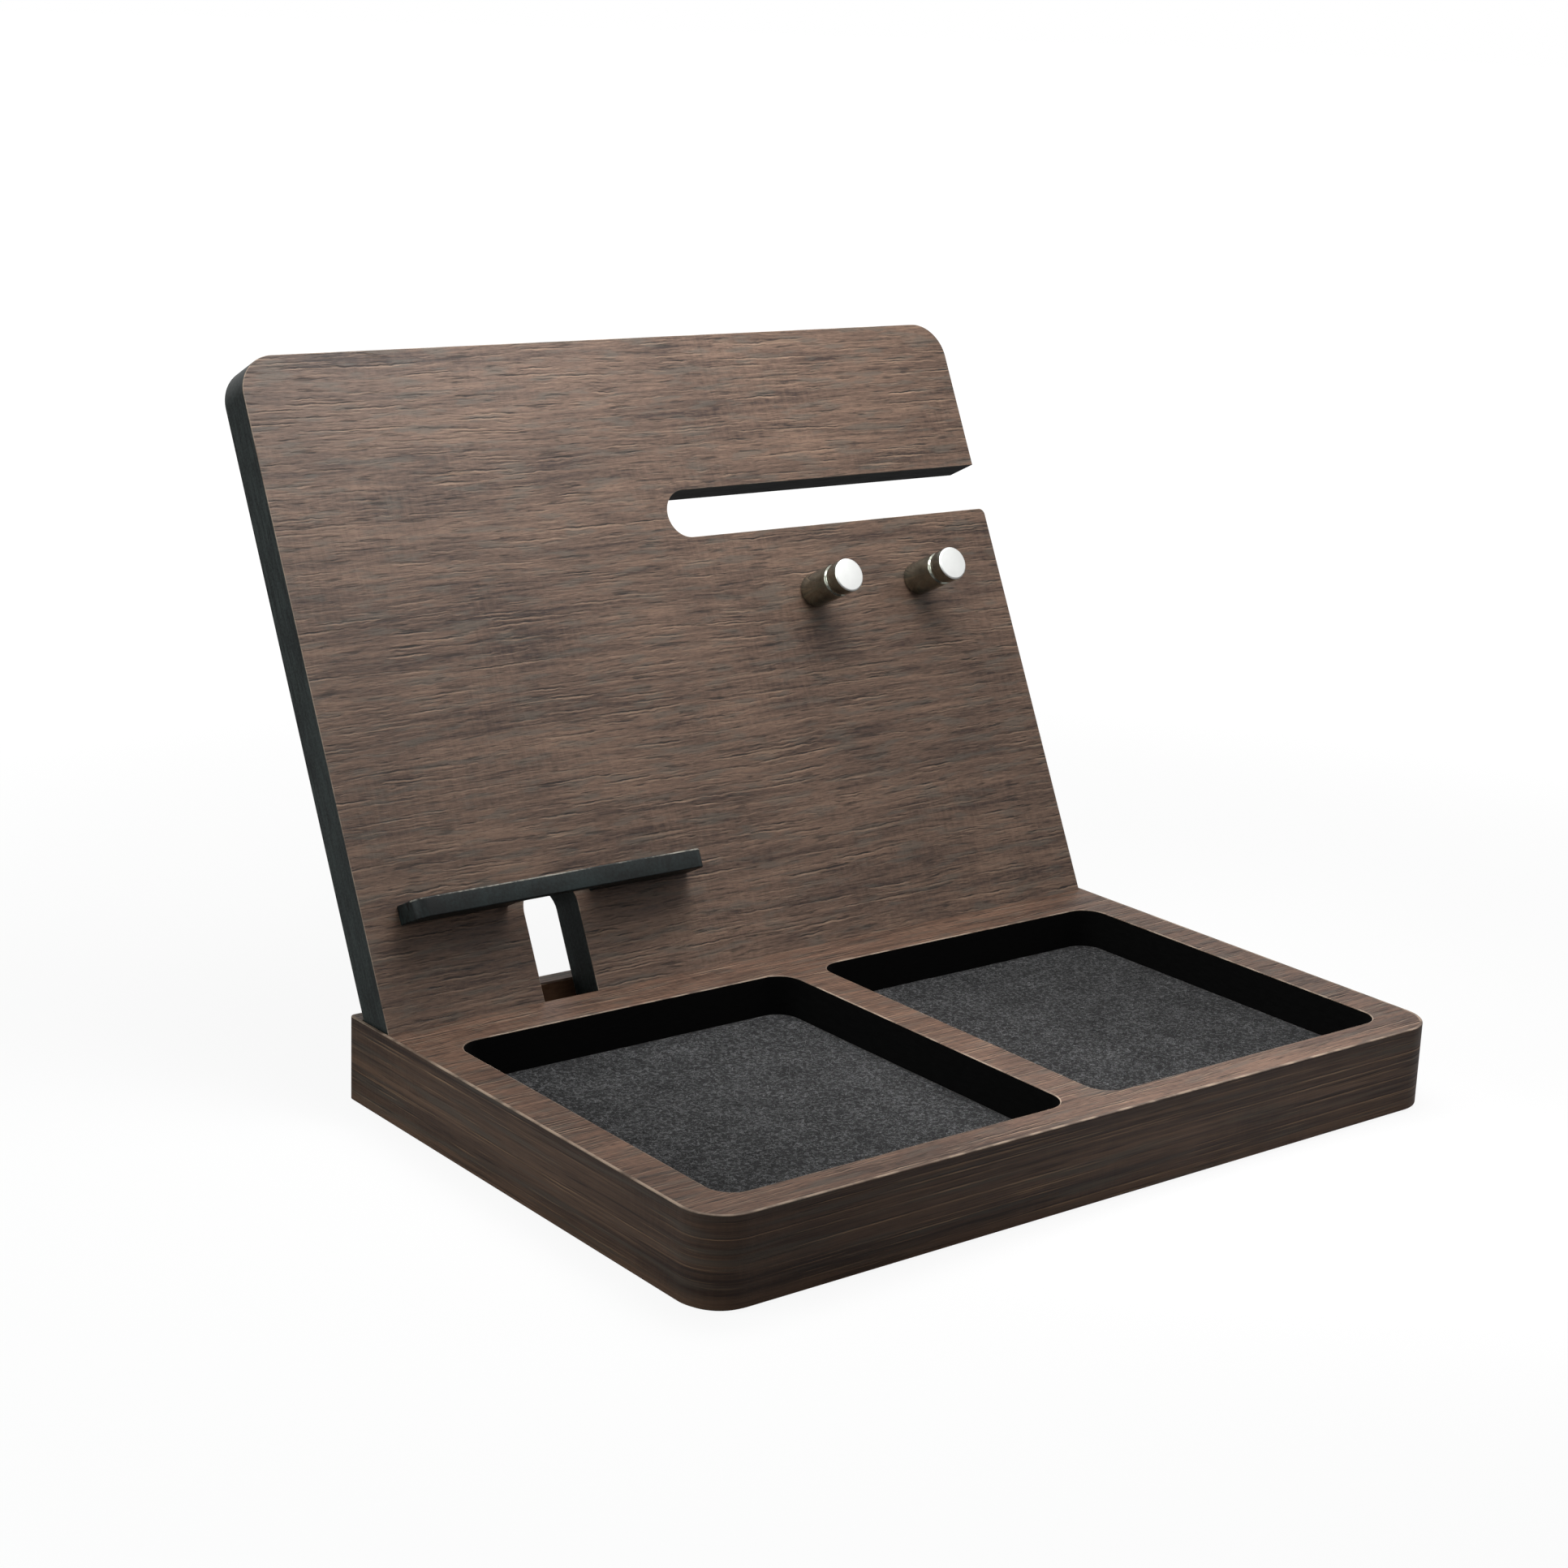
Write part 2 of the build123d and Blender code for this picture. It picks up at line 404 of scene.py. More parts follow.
# ---------------------------------------------------------------- materials
@dataclass(frozen=True)
class Value:
    """A number that a material works out at each point of a surface: a recipe's socket."""

    recipe: "Recipe"
    socket: NodeSocket

    def __add__(self, other: "Value | float") -> "Value":
        """Adds."""
        return self.recipe.maths("ADD", self, other)

    def __radd__(self, other: float) -> "Value":
        """Adds, with the number first."""
        return self.recipe.maths("ADD", other, self)

    def __sub__(self, other: "Value | float") -> "Value":
        """Subtracts."""
        return self.recipe.maths("SUBTRACT", self, other)

    def __mul__(self, other: "Value | float") -> "Value":
        """Multiplies."""
        return self.recipe.maths("MULTIPLY", self, other)

    def __truediv__(self, other: "Value | float") -> "Value":
        """Divides."""
        return self.recipe.maths("DIVIDE", self, other)

    def __abs__(self) -> "Value":
        """Distance from nothing."""
        return self.recipe.maths("ABSOLUTE", self, 0.0)

    def rising(self, low: float, high: float) -> "Value":
        """A smooth step from 0 at the low value to 1 at the high one."""
        return self.recipe.step(self, low, high, 0.0, 1.0)

    def falling(self, low: float, high: float) -> "Value":
        """A smooth step from 1 at the low value to 0 at the high one."""
        return self.recipe.step(self, low, high, 1.0, 0.0)


class Recipe:
    """The nodes of one material or of the room, all added by one method."""

    def __init__(self, owner: Material | World) -> None:
        """Starts the nodes of a new material or world.

        Args:
            owner: The material or the world.
        """
        self.owner = owner
        self.owner.use_nodes = True
        self.tree = self.owner.node_tree
        self.tree.nodes.clear()

    @classmethod
    def named(cls, name: str) -> "Recipe":
        """Starts a material of that name."""
        return cls(bpy.data.materials.new(name))

    def add(self, kind: str, inputs: dict[str | int, object], **settings: object) -> Node:
        """Adds a node.

        Args:
            kind: Type of the node.
            inputs: The value or the link of each input, by name or number.
            **settings: What is set on the node itself, before its inputs.

        Returns:
            The node.
        """
        node = self.tree.nodes.new(kind)
        for name, value in settings.items():
            setattr(node, name, value)
        for name, value in inputs.items():
            if isinstance(value, Value):
                value = value.socket
            if isinstance(value, NodeSocket):
                self.tree.links.new(value, node.inputs[name])
            else:
                node.inputs[name].default_value = value
        return node

    def maths(self, operation: str, one: object, other: object) -> Value:
        """Adds a Math node of one operation on two numbers, values or sockets."""
        node = self.add("ShaderNodeMath", {0: one, 1: other}, operation=operation)
        return Value(self, node.outputs[0])

    def step(self, value: Value, low: float, high: float, start: float, end: float) -> Value:
        """Adds a smooth step.

        Args:
            value: The value that is stepped.
            low: Where the step starts.
            high: Where the step ends.
            start: Result at and below the low value.
            end: Result at and above the high value.

        Returns:
            The stepped value.
        """
        node = self.add(
            "ShaderNodeMapRange",
            {"Value": value, "From Min": low, "From Max": high, "To Min": start, "To Max": end},
            interpolation_type="SMOOTHSTEP",
            clamp=True,
        )
        return Value(self, node.outputs[0])

    def noise(self, x: Value, y: Value, z: "Value | float", detail: float = 2.0) -> Value:
        """Adds a noise, whose own scale is 1, at a point made of three numbers.

        Args:
            x: First place in the noise.
            y: Second place.
            z: Third place.
            detail: Number of finer layers.

        Returns:
            The noise, from 0 to 1 and mostly near a half.
        """
        point = self.add("ShaderNodeCombineXYZ", {0: x, 1: y, 2: z})
        node = self.add(
            "ShaderNodeTexNoise",
            {"Vector": point.outputs[0], "Scale": 1.0, "Detail": detail},
            noise_dimensions="3D",
        )
        return Value(self, node.outputs[0])

    def blend(self, under: object, over: object, share: "Value | float") -> NodeSocket:
        """Adds a Mix node for two colours.

        Args:
            under: The colour that shows where the share is 0.
            over: The colour that shows where the share is 1.
            share: How much of the second colour shows.

        Returns:
            The mixed colour's socket.
        """
        under = (*under, 1.0) if isinstance(under, tuple) else under
        over = (*over, 1.0) if isinstance(over, tuple) else over
        node = self.add(
            "ShaderNodeMix", {0: share, 6: under, 7: over}, data_type="RGBA", clamp_factor=True
        )
        return node.outputs[2]

    def clamp(self, value: Value) -> Value:
        """Keeps a value between 0 and 1."""
        node = self.add("ShaderNodeClamp", {0: value})
        return Value(self, node.outputs[0])

    def split(self, vector: NodeSocket) -> tuple[Value, Value, Value]:
        """Splits a vector in metres into three numbers in millimetres.

        Args:
            vector: The vector's socket.

        Returns:
            The three numbers.
        """
        scaled = self.add(
            "ShaderNodeVectorMath", {"Vector": vector, "Scale": 1 / MM}, operation="SCALE"
        )
        parts = self.add("ShaderNodeSeparateXYZ", {0: scaled.outputs[0]})
        return tuple(Value(self, output) for output in parts.outputs)

    def bump(self, height: Value, depth: float, strength: float) -> NodeSocket:
        """Adds a Bump node.

        Args:
            height: Height of the surface, from 0 to 1.
            depth: How deep the full height is, in metres.
            strength: How strongly it shows.

        Returns:
            The new normal's socket.
        """
        node = self.add(
            "ShaderNodeBump", {"Strength": strength, "Distance": depth, "Height": height}
        )
        return node.outputs[0]

    def finish(self, inputs: dict[str, object]) -> Material:
        """Adds the shader and the output, and hands the material over.

        Args:
            inputs: Values and links of the Principled shader.

        Returns:
            The finished material.
        """
        shader = self.add("ShaderNodeBsdfPrincipled", inputs)
        self.add("ShaderNodeOutputMaterial", {"Surface": shader.outputs[0]})
        return self.owner


class Grain(Enum):
    """How the pattern of a finish lies on its piece."""

    LYING = "along X, on boards that lie flat"
    LEANING = "along X, on boards turned with the panel"
    WRAPPED = "round the tray, on the band's own UV map"


@dataclass(frozen=True)
class Lean:
    """Place and slope of the panel's face."""

    angle: float = math.radians(26)
    foot: Place = (0.0, 74.5 * MM, 29 * MM)

    @property
    def matrix(self) -> Matrix:
        """Turns the panel's own directions into the model's."""
        turn = Euler((math.radians(90) - self.angle, 0, 0)).to_matrix().to_4x4()
        return Matrix.Translation(self.foot) @ turn

    def stand(self, piece: Object) -> None:
        """Stands a piece that was modelled lying down, and keeps the place in its mesh.

        Args:
            piece: The piece.
        """
        Bench.alone(piece)
        piece.matrix_world = self.matrix
        bpy.ops.object.transform_apply(location=True, rotation=True, scale=True)

    def local(self, recipe: Recipe, vector: NodeSocket) -> NodeSocket:
        """Adds the Mapping node that gives the panel's own directions.

        Args:
            recipe: The material.
            vector: Place in the model.

        Returns:
            Place on the panel.
        """
        back = self.matrix.inverted()
        node = recipe.add(
            "ShaderNodeMapping",
            {"Vector": vector, "Location": back.translation, "Rotation": back.to_euler()},
            vector_type="POINT",
        )
        return node.outputs[0]


def millimetres(recipe: Recipe, grain: Grain) -> tuple[Value, Value, Value]:
    """Adds the place on a piece, in millimetres, in the directions of its pattern.

    Args:
        recipe: The material.
        grain: How the pattern lies.

    Returns:
        Place along the grain, across it and out of the surface.
    """
    if grain is Grain.WRAPPED:
        source = recipe.add("ShaderNodeUVMap", {}, uv_map=TrayOutline.MAP)
        return recipe.split(source.outputs[0])
    source = recipe.add("ShaderNodeTexCoord", {})
    place = source.outputs["Object"]
    if grain is Grain.LEANING:
        place = Lean().local(recipe, place)
    return recipe.split(place)


@dataclass(frozen=True)
class Walnut:
    """Open-pored walnut veneer under matt lacquer.

    Attributes:
        name: Name of the material.
        grain: How the grain lies.
        dark: Colour of the late wood.
        light: Colour of the early wood.
        cool: Colour of the greyer patches.
        fleck_and_highlight: Colour of the pale lines: pale grain, and the painted highlight on the
            lower lip of each groove.
        pore_and_shadow: Colour of the open pores and stains, and of the painted shadow on the upper
            wall of each groove.
        seed: Where in the noise the sheet was cut.
        stretch: How long its marks are along the grain, where the panel's are 1.
        highlight_and_shadow_share: How strongly the pale lines, with their painted highlights, and the
            painted groove shadows show.
        line_level: How rare they are, from 0.5 for many to 0.7 for few.
        figure: How strongly the ripple across the grain shows.
        stripe: How strongly the wide stripes along it show.
        bare: Colour of the wood where the lacquer is rubbed through.
        worn: How strongly the bare wood shows.
        specular: How much the lacquer reflects.
        depth: Depth of its pores, in metres.
    """

    name: str
    grain: Grain
    dark: Colour = screen_colour(46, 32, 26)
    light: Colour = screen_colour(110, 88, 74)
    cool: Colour = screen_colour(84, 78, 70)
    fleck_and_highlight: Colour = screen_colour(152, 126, 106)
    pore_and_shadow: Colour = screen_colour(26, 21, 18)
    bare: Colour = screen_colour(186, 168, 150)
    seed: float = 0.0
    stretch: float = 1.0
    highlight_and_shadow_share: float = 0.6
    line_level: float = 0.595
    figure: float = 0.32
    stripe: float = 1.3
    worn: float = 0.0
    specular: float = 0.2
    depth: float = 0.12 * MM

    def build(self) -> Material:
        """Builds the material.

        Returns:
            The material.
        """
        recipe = Recipe.named(self.name)
        x, y, z = millimetres(recipe, self.grain)
        seed, run = self.seed, self.stretch
        drift = recipe.noise(x / (130 * run) + seed, y / 42, z / 26) - 0.5
        wave = recipe.noise(x / (34 * run), y / 9 + seed, z / 6) - 0.5
        across = y + drift * 6 / run + wave * 0.6 / run
        bands = recipe.noise(x / (140 * run), across / 6, seed + 3) - 0.5
        streaks = recipe.noise(x / (26 * run), across / 1.4, seed + 11, detail=3) - 0.5
        strands = recipe.noise(x / (3.4 * run), across / 0.5, seed + 23) - 0.5
        ripple = recipe.noise(x / 60, y / 45, seed + 37).rising(0.42, 0.62) * 1.3 + 0.3
        cross = (recipe.noise(x / 1.7, y / 9, seed + 31) - 0.5) * ripple
        cloud = recipe.noise(x / 48, y / 30, seed + 43) - 0.5
        tone = 0.5 + bands * self.stripe + streaks * 1.4 + strands * 0.9
        tone = tone + cross * self.figure + cloud * 0.9
        colour = recipe.blend(self.dark, self.light, tone)
        grey = recipe.noise(x / (16 * run), across / 3.2, seed + 47).rising(0.5, 0.66)
        colour = recipe.blend(colour, self.cool, grey * 0.55)
        patches = recipe.noise(x / 30, across / 8, seed + 61).rising(0.36, 0.6)
        share = (0.35 + patches * 0.65) * self.highlight_and_shadow_share
        kinks = recipe.noise(x / 6, y / 4, seed + 79) - 0.5
        torn = across + kinks * 1.3 / run
        # Each pale line is pale grain with a painted highlight on a groove's lower lip; the same lines
        # 0.5 mm further across the grain are painted as the shadow on the groove's upper wall.
        pale_grain_and_highlight = self.lines(recipe, x, torn)
        cleft_shadows = self.lines(recipe, x, torn - 0.5)
        stains = recipe.noise(x / (15 * run), across / 1.5, seed + 67).rising(0.58, 0.68)
        pores = recipe.noise(x / (4.5 * run), across / 0.45, seed + 71).rising(0.58, 0.66)
        # Painted groove shadows darken the wood together with the stains and the pores.
        dark_marks_and_shadow = recipe.clamp(cleft_shadows * share * 1.3 + stains * 0.6 + pores * 0.35)
        pale = recipe.clamp(pale_grain_and_highlight * share * 0.85)
        colour = recipe.blend(colour, self.pore_and_shadow, dark_marks_and_shadow)
        colour = recipe.blend(colour, self.fleck_and_highlight, pale)
        if self.worn:
            rubbed = recipe.noise(x / 9, y / 9, z / 9 + seed, detail=5).rising(0.38, 0.62)
            colour = recipe.blend(colour, self.bare, (0.2 + rubbed * 0.8) * self.worn)
        relief = 0.6 + streaks * 0.3 + strands * 0.4 + cross * 0.4 - dark_marks_and_shadow * 0.5 + pale * 0.25
        return recipe.finish({
            "Base Color": colour,
            "Roughness": 0.5 + dark_marks_and_shadow * 0.2 - pale * 0.06,
            "Specular IOR Level": self.specular,
            "Normal": recipe.bump(relief, self.depth, 0.8),
        })

    def lines(self, recipe: Recipe, x: Value, across: Value) -> Value:
        """Adds the thin lines that run with the grain: a few long ones and many short ones.

        Args:
            recipe: The material.
            x: Place along the grain, in millimetres.
            across: Place across the grain, in millimetres.

        Returns:
            The lines, 1 on a long line and about a half on a short one.
        """
        level = self.line_level
        long = recipe.noise(x / (44 * self.stretch), across / 0.95, self.seed + 53)
        short = recipe.noise(x / (13 * self.stretch), across / 0.6, self.seed + 59)
        return long.rising(level + 0.02, level + 0.06) + short.rising(level, level + 0.05) * 0.55


@dataclass(frozen=True)
class PaintedBoard:
    """Board edge or ledge with thin black paint, brushed along it.

    Attributes:
        name: Name of the material.
        grain: How the brush strokes lie.
        base: Colour of the paint.
        streak: Colour of the thinner strokes.
        chip: Colour where the paint is rubbed off.
        chipped: How strongly the bare board shows where the paint is rubbed off.
        roughness: How dull the paint is.
        specular: How much it reflects.
        depth: Depth of the brush strokes, in metres.
    """

    name: str
    grain: Grain
    base: Colour = screen_colour(17, 20, 20)
    streak: Colour = screen_colour(45, 51, 50)
    chip: Colour = screen_colour(150, 146, 136)
    chipped: float = 0.0
    roughness: float = 0.5
    specular: float = 0.2
    depth: float = 0.08 * MM

    def build(self) -> Material:
        """Builds the material.

        Returns:
            The material.
        """
        recipe = Recipe.named(self.name)
        x, y, z = millimetres(recipe, self.grain)
        strokes = recipe.noise(x / 9, y / 9, z / 0.8, detail=3) - 0.5
        speckle = recipe.noise(x / 0.9, y / 0.9, z / 0.9) - 0.5
        cloud = recipe.noise(x / 22, y / 22, z / 22) - 0.5
        colour = recipe.blend(self.base, self.streak, 0.4 + strokes * 2.4 + speckle * 1.6 + cloud)
        if self.chipped:
            fine = recipe.noise(x / 1.6, y / 1.6, z / 1.6, detail=3)
            wide = recipe.noise(x / 14, y / 14, z / 14)
            rubbed = (fine * 0.4 + wide * 0.6).rising(0.4, 0.62)
            colour = recipe.blend(colour, self.chip, rubbed * self.chipped)
        relief = 0.5 + strokes + speckle * 0.8
        return recipe.finish({
            "Base Color": colour,
            "Roughness": self.roughness + strokes * 0.25,
            "Specular IOR Level": self.specular,
            "Normal": recipe.bump(relief, self.depth, 0.6),
        })


@dataclass(frozen=True)
class CoreBoard:
    """Core of the tray: flat black paint in the pockets, bare board in the groove.

    Attributes:
        name: Name of the material.
        paint: Colour of the paint.
        board: Colour of the bare board.
        paint_end: Where the paint stops, towards the back, in millimetres.
        depth: Depth of its pits, in metres.
    """

    name: str
    paint: Colour = screen_colour(6, 6, 6)
    board: Colour = screen_colour(70, 50, 36)
    paint_end: float = 60.0
    depth: float = 0.1 * MM

    def build(self) -> Material:
        """Builds the material.

        Returns:
            The material.
        """
        recipe = Recipe.named(self.name)
        x, y, z = millimetres(recipe, Grain.LYING)
        mottle = recipe.noise(x / 4, y / 4, z / 1.2, detail=3) - 0.5
        chips = recipe.noise(x / 1.5, y / 1.5, z / 0.5) - 0.5
        bare = recipe.blend(self.board, screen_colour(56, 38, 26), 0.4 + mottle * 2 + chips)
        painted = recipe.blend(self.paint, screen_colour(13, 13, 13), 0.4 + mottle * 2)
        colour = recipe.blend(painted, bare, y.rising(self.paint_end, self.paint_end + 0.5))
        return recipe.finish({
            "Base Color": colour,
            "Roughness": 0.9 + mottle * 0.1,
            "Specular IOR Level": 0.05,
            "Normal": recipe.bump(0.5 + mottle * 0.4 + chips * 0.6, self.depth, 0.5),
        })


@dataclass(frozen=True)
class Felt:
    """Charcoal wool felt with its short curled fibres.

    Attributes:
        name: Name of the material.
        dark: Colour between the fibres.
        mid: Colour of the mat.
        light: Colour of the fibres that catch the light.
        depth: Depth of the mat, in metres.
    """

    name: str
    dark: Colour = screen_colour(4, 4, 5)
    mid: Colour = screen_colour(20, 20, 21)
    light: Colour = screen_colour(102, 102, 103)
    depth: float = 0.3 * MM

    def build(self) -> Material:
        """Builds the material.

        Returns:
            The material.
        """
        recipe = Recipe.named(self.name)
        x, y, z = millimetres(recipe, Grain.LYING)
        stir_x = recipe.noise(x / 1.8, y / 1.8, z / 1.8 + 5) - 0.5
        stir_y = recipe.noise(x / 1.8, y / 1.8, z / 1.8 + 9) - 0.5
        across = x + stir_x * 2.6
        along = y + stir_y * 2.6
        curls = 0
        for number in range(3):
            turned = recipe.noise(
                across / (1.3 - number * 0.2) + 40 * number, along / (0.9 + number * 0.2), z + 13
            )
            curls = abs(turned - 0.5).falling(0.0, 0.05) * 0.5 + curls
        breaks = recipe.noise(x / 1.1 + 7, y / 1.1, z).rising(0.42, 0.58)
        strand = recipe.clamp(curls * breaks)
        mat = recipe.noise(x / 0.6, y / 0.6, z / 0.6 + 21, detail=3)
        nap = recipe.noise(x / 16, y / 13, 3.0, detail=3) - 0.5
        ribs = recipe.noise((x + y) / 1.3, (x - y) / 6, z + 31) - 0.5
        colour = recipe.blend(self.dark, self.mid, mat.rising(0.32, 0.68) + nap * 3.0 + ribs * 1.5)
        colour = recipe.blend(colour, self.light, strand * (0.95 + nap))
        relief = mat * 0.6 + strand * 0.6
        return recipe.finish({
            "Base Color": colour,
            "Roughness": 0.95,
            "Specular IOR Level": 0.05,
            "Sheen Weight": 0.1,
            "Sheen Roughness": 0.6,
            "Normal": recipe.bump(relief, self.depth, 0.9),
        })


@dataclass(frozen=True)
class TurnedSteel:
    """Steel of a turned piece, with the fine rings that the lathe leaves.

    Attributes:
        name: Name of the material.
        base: Colour of the steel.
        stain: Colour of its duller places.
        roughness: How dull it is.
        ring: Spacing of the rings along the piece, in millimetres.
        depth: Depth of the rings, in metres.
    """

    name: str
    base: Colour
    stain: Colour
    roughness: float
    ring: float = 0.25
    depth: float = 0.02 * MM

    def build(self) -> Material:
        """Builds the material.

        Returns:
            The material.
        """
        recipe = Recipe.named(self.name)
        x, y, z = millimetres(recipe, Grain.LEANING)
        rings = recipe.noise(x / 12, y / 12, z / self.ring) - 0.5
        cloud = recipe.noise(x / 5, y / 5, z / 5) - 0.5
        colour = recipe.blend(self.base, self.stain, 0.3 + cloud * 1.6 + rings * 0.5)
        return recipe.finish({
            "Base Color": colour,
            "Metallic": 1.0,
            "Roughness": self.roughness + cloud * 0.12 + rings * 0.08,
            "Normal": recipe.bump(0.5 + rings * 0.6, self.depth, 0.3),
        })


@dataclass(frozen=True)
class Finishes:
    """Every finish of the object, built once, under the name of its material."""

    face_walnut: Material
    back_walnut: Material
    top_walnut: Material
    band_walnut: Material
    worn_top: Material
    worn_face: Material
    worn_band: Material
    panel_edge: Material
    slot_painted_shade: Material
    pocket_paint: Material
    ledge_paint: Material
    ledge_worn: Material
    core_board: Material
    felt: Material
    felt_fibre: Material
    shank_steel_painted_reflection: Material
    head_steel_painted_highlight: Material
    zinc: Material

    @classmethod
    def build(cls) -> "Finishes":
        """Builds every finish.

        Returns:
            The finishes.
        """
        band = {
            "grain": Grain.WRAPPED,
            "dark": screen_colour(40, 27, 21),
            "light": screen_colour(88, 67, 53),
            "cool": screen_colour(66, 60, 53),
            "fleck_and_highlight": screen_colour(160, 128, 98),
            "pore_and_shadow": screen_colour(28, 21, 18),
            "bare": screen_colour(164, 144, 126),
            "seed": 150.0,
            "stretch": 4.0,
            "stripe": 2.2,
            "line_level": 0.62,
            "figure": 0.25,
        }
        face = {
            "grain": Grain.LEANING,
            "light": screen_colour(118, 95, 80),
            "specular": 0.3,
        }
        top = {
            "grain": Grain.LYING,
            "dark": screen_colour(38, 25, 19),
            "light": screen_colour(110, 84, 69),
            "cool": screen_colour(76, 68, 60),
            "seed": 90.0,
            "highlight_and_shadow_share": 0.7,
            "figure": 0.45,
        }
        ledge = {
            "grain": Grain.LEANING,
            "base": screen_colour(9, 12, 12),
            "streak": screen_colour(30, 38, 38),
        }
        recipes = (
            Walnut("face_walnut", **face),
            Walnut("back_walnut", Grain.LEANING, seed=210.0),
            Walnut("top_walnut", **top),
            Walnut("band_walnut", **band),
            Walnut("worn_top", **top, worn=0.7),
            Walnut("worn_face", **face, worn=0.4),
            Walnut("worn_band", **band, worn=0.75),
            PaintedBoard("panel_edge", Grain.LEANING),
            # A darker copy of the edge paint, painted as shade on the slot's upper wall.
            PaintedBoard(
                "slot_painted_shade",
                Grain.LEANING,
                base=screen_colour(3, 4, 4),
                streak=screen_colour(11, 12, 12),
                specular=0.05,
            ),
            PaintedBoard(
                "pocket_paint",
                Grain.LYING,
                base=screen_colour(6, 6, 6),
                streak=screen_colour(14, 14, 14),
                roughness=0.9,
                specular=0.05,
            ),
            PaintedBoard("ledge_paint", **ledge),
            PaintedBoard("ledge_worn", **ledge, chipped=0.8),
            CoreBoard("core_board"),
            Felt("felt"),
            Felt(
                "felt_fibre",
                dark=screen_colour(40, 40, 41),
                mid=screen_colour(88, 88, 89),
                light=screen_colour(134, 134, 135),
            ),
            # The shank's darker, greenish steel is a painted reflection of dark surroundings, and the
            # head's brighter copy of the same steel is a painted highlight.
            TurnedSteel("shank_steel_painted_reflection", screen_colour(166, 168, 156), screen_colour(100, 103, 92), 0.2),
            TurnedSteel("head_steel_painted_highlight", screen_colour(216, 217, 215), screen_colour(206, 207, 205), 0.42),
            TurnedSteel("zinc", screen_colour(176, 176, 180), screen_colour(140, 140, 144), 0.38),
        )
        return cls(**{recipe.name: recipe.build() for recipe in recipes})


# ---------------------------------------------------------------- a finished piece
@dataclass(frozen=True)
class Piece:
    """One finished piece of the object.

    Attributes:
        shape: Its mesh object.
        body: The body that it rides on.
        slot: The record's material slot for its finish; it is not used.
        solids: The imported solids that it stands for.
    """

    shape: Object
    body: Body
    slot: str
    solids: tuple[str, ...] = ()

    def place(self) -> None:
        """Puts the piece on its body, hides its solids and reports it."""
        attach(self.shape, self.body.value)
        if self.solids:
            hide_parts(*self.solids)
        self.shape.data.calc_loop_triangles()
        log.info(
            "%s: %d triangles, %.2f mm from its solid",
            self.shape.name,
            len(self.shape.data.loop_triangles),
            self.departure() / MM,
        )

    def departure(self) -> float:
        """How far the piece's box is from its solids' box.

        Returns:
            The largest difference of a side, in metres, or 0 where it stands for none.
        """
        if not self.solids:
            return 0.0
        boxes = [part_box(name) for name in self.solids]
        low = [min(box[0][axis] for box in boxes) for axis in range(3)]
        high = [max(box[1][axis] for box in boxes) for axis in range(3)]
        own = [vertex.co for vertex in self.shape.data.vertices]
        gaps = [abs(min(point[axis] for point in own) - low[axis]) for axis in range(3)]
        gaps += [abs(max(point[axis] for point in own) - high[axis]) for axis in range(3)]
        return max(gaps)


# ---------------------------------------------------------------- the tray
@dataclass(frozen=True)
class TrayOutline:
    """Outline of the tray, with round front corners and nearly square rear ones."""

    width: float = 300 * MM
    depth: float = 193 * MM
    front_radius: float = 14 * MM
    rear_radius: float = 2 * MM
    least_radius: float = 0.3 * MM
    front_steps: int = 28
    rear_steps: int = 6

    MAP = "grain"

    def slab(self, name: str, inset: float, bottom: float, top: float) -> Object:
        """Models a slab of this outline.

        Args:
            name: Name of the piece.
            inset: How far the outline is drawn in.
            bottom: Height of the underside.
            top: Height of the top.

        Returns:
            The slab.
        """
        half_width = self.width / 2 - inset
        half_depth = self.depth / 2 - inset
        piece = Bench.block(
            name, (-half_width, -half_depth, bottom), (half_width, half_depth, top)
        )
        rear_radius = max(self.rear_radius - inset, self.least_radius)
        Bench.round_corners(piece, -half_depth, self.front_radius - inset, self.front_steps)
        Bench.round_corners(piece, half_depth, rear_radius, self.rear_steps)
        return piece

    def walk(self) -> list[tuple[Vector, float]]:
        """Walks round the outline from the middle of the back, left side first.

        Returns:
            Points on the outline, each with its distance along it.
        """
        half_width, half_depth = self.width / 2, self.depth / 2
        front, rear = self.front_radius, self.rear_radius
        corners = (
            (-half_width + rear, half_depth - rear, rear, 90),
            (-half_width + front, -half_depth + front, front, 180),
            (half_width - front, -half_depth + front, front, 270),
            (half_width - rear, half_depth - rear, rear, 0),
        )
        points = [Vector((0, half_depth))]
        for x, y, radius, start in corners:
            for step in range(self.front_steps + 1):
                angle = math.radians(start + 90 * step / self.front_steps)
                points.append(Vector((x + radius * math.cos(angle), y + radius * math.sin(angle))))
        points.append(points[0])
        along = [0.0]
        for before, after in zip(points, points[1:]):
            along.append(along[-1] + (after - before).length)
        return list(zip(points, along))

    def unroll(self, piece: Object) -> None:
        """Gives a band its UV map: distance along the outline, and height.

        Args:
            piece: The band.
        """
        walk = self.walk()
        length = walk[-1][1]
        layer = piece.data.uv_layers.new(name=self.MAP)
        for face in piece.data.polygons:
            middle = self.distance(walk, face.center.xy)
            for loop in face.loop_indices:
                corner = piece.data.vertices[piece.data.loops[loop].vertex_index].co
                along = self.distance(walk, corner.xy)
                if along - middle > length / 2:
                    along -= length
                if middle - along > length / 2:
                    along += length
                layer.data[loop].uv = (along, corner.z)

    @staticmethod
    def distance(walk: Sequence[tuple[Vector, float]], point: Vector) -> float:
        """Distance along the outline of the place that is nearest to a point.

        Args:
            walk: The outline's points with their distances.
            point: The point, seen from above.

        Returns:
            The distance, in metres.
        """
        best = (math.inf, 0.0)
        for (before, start), (after, end) in zip(walk, walk[1:]):
            run = after - before
            share = (point - before).dot(run) / max(run.length_squared, 1e-12)
            share = min(max(share, 0.0), 1.0)
            gap = (before + run * share - point).length
            if gap < best[0]:
                best = (gap, start + (end - start) * share)
        return best[1]


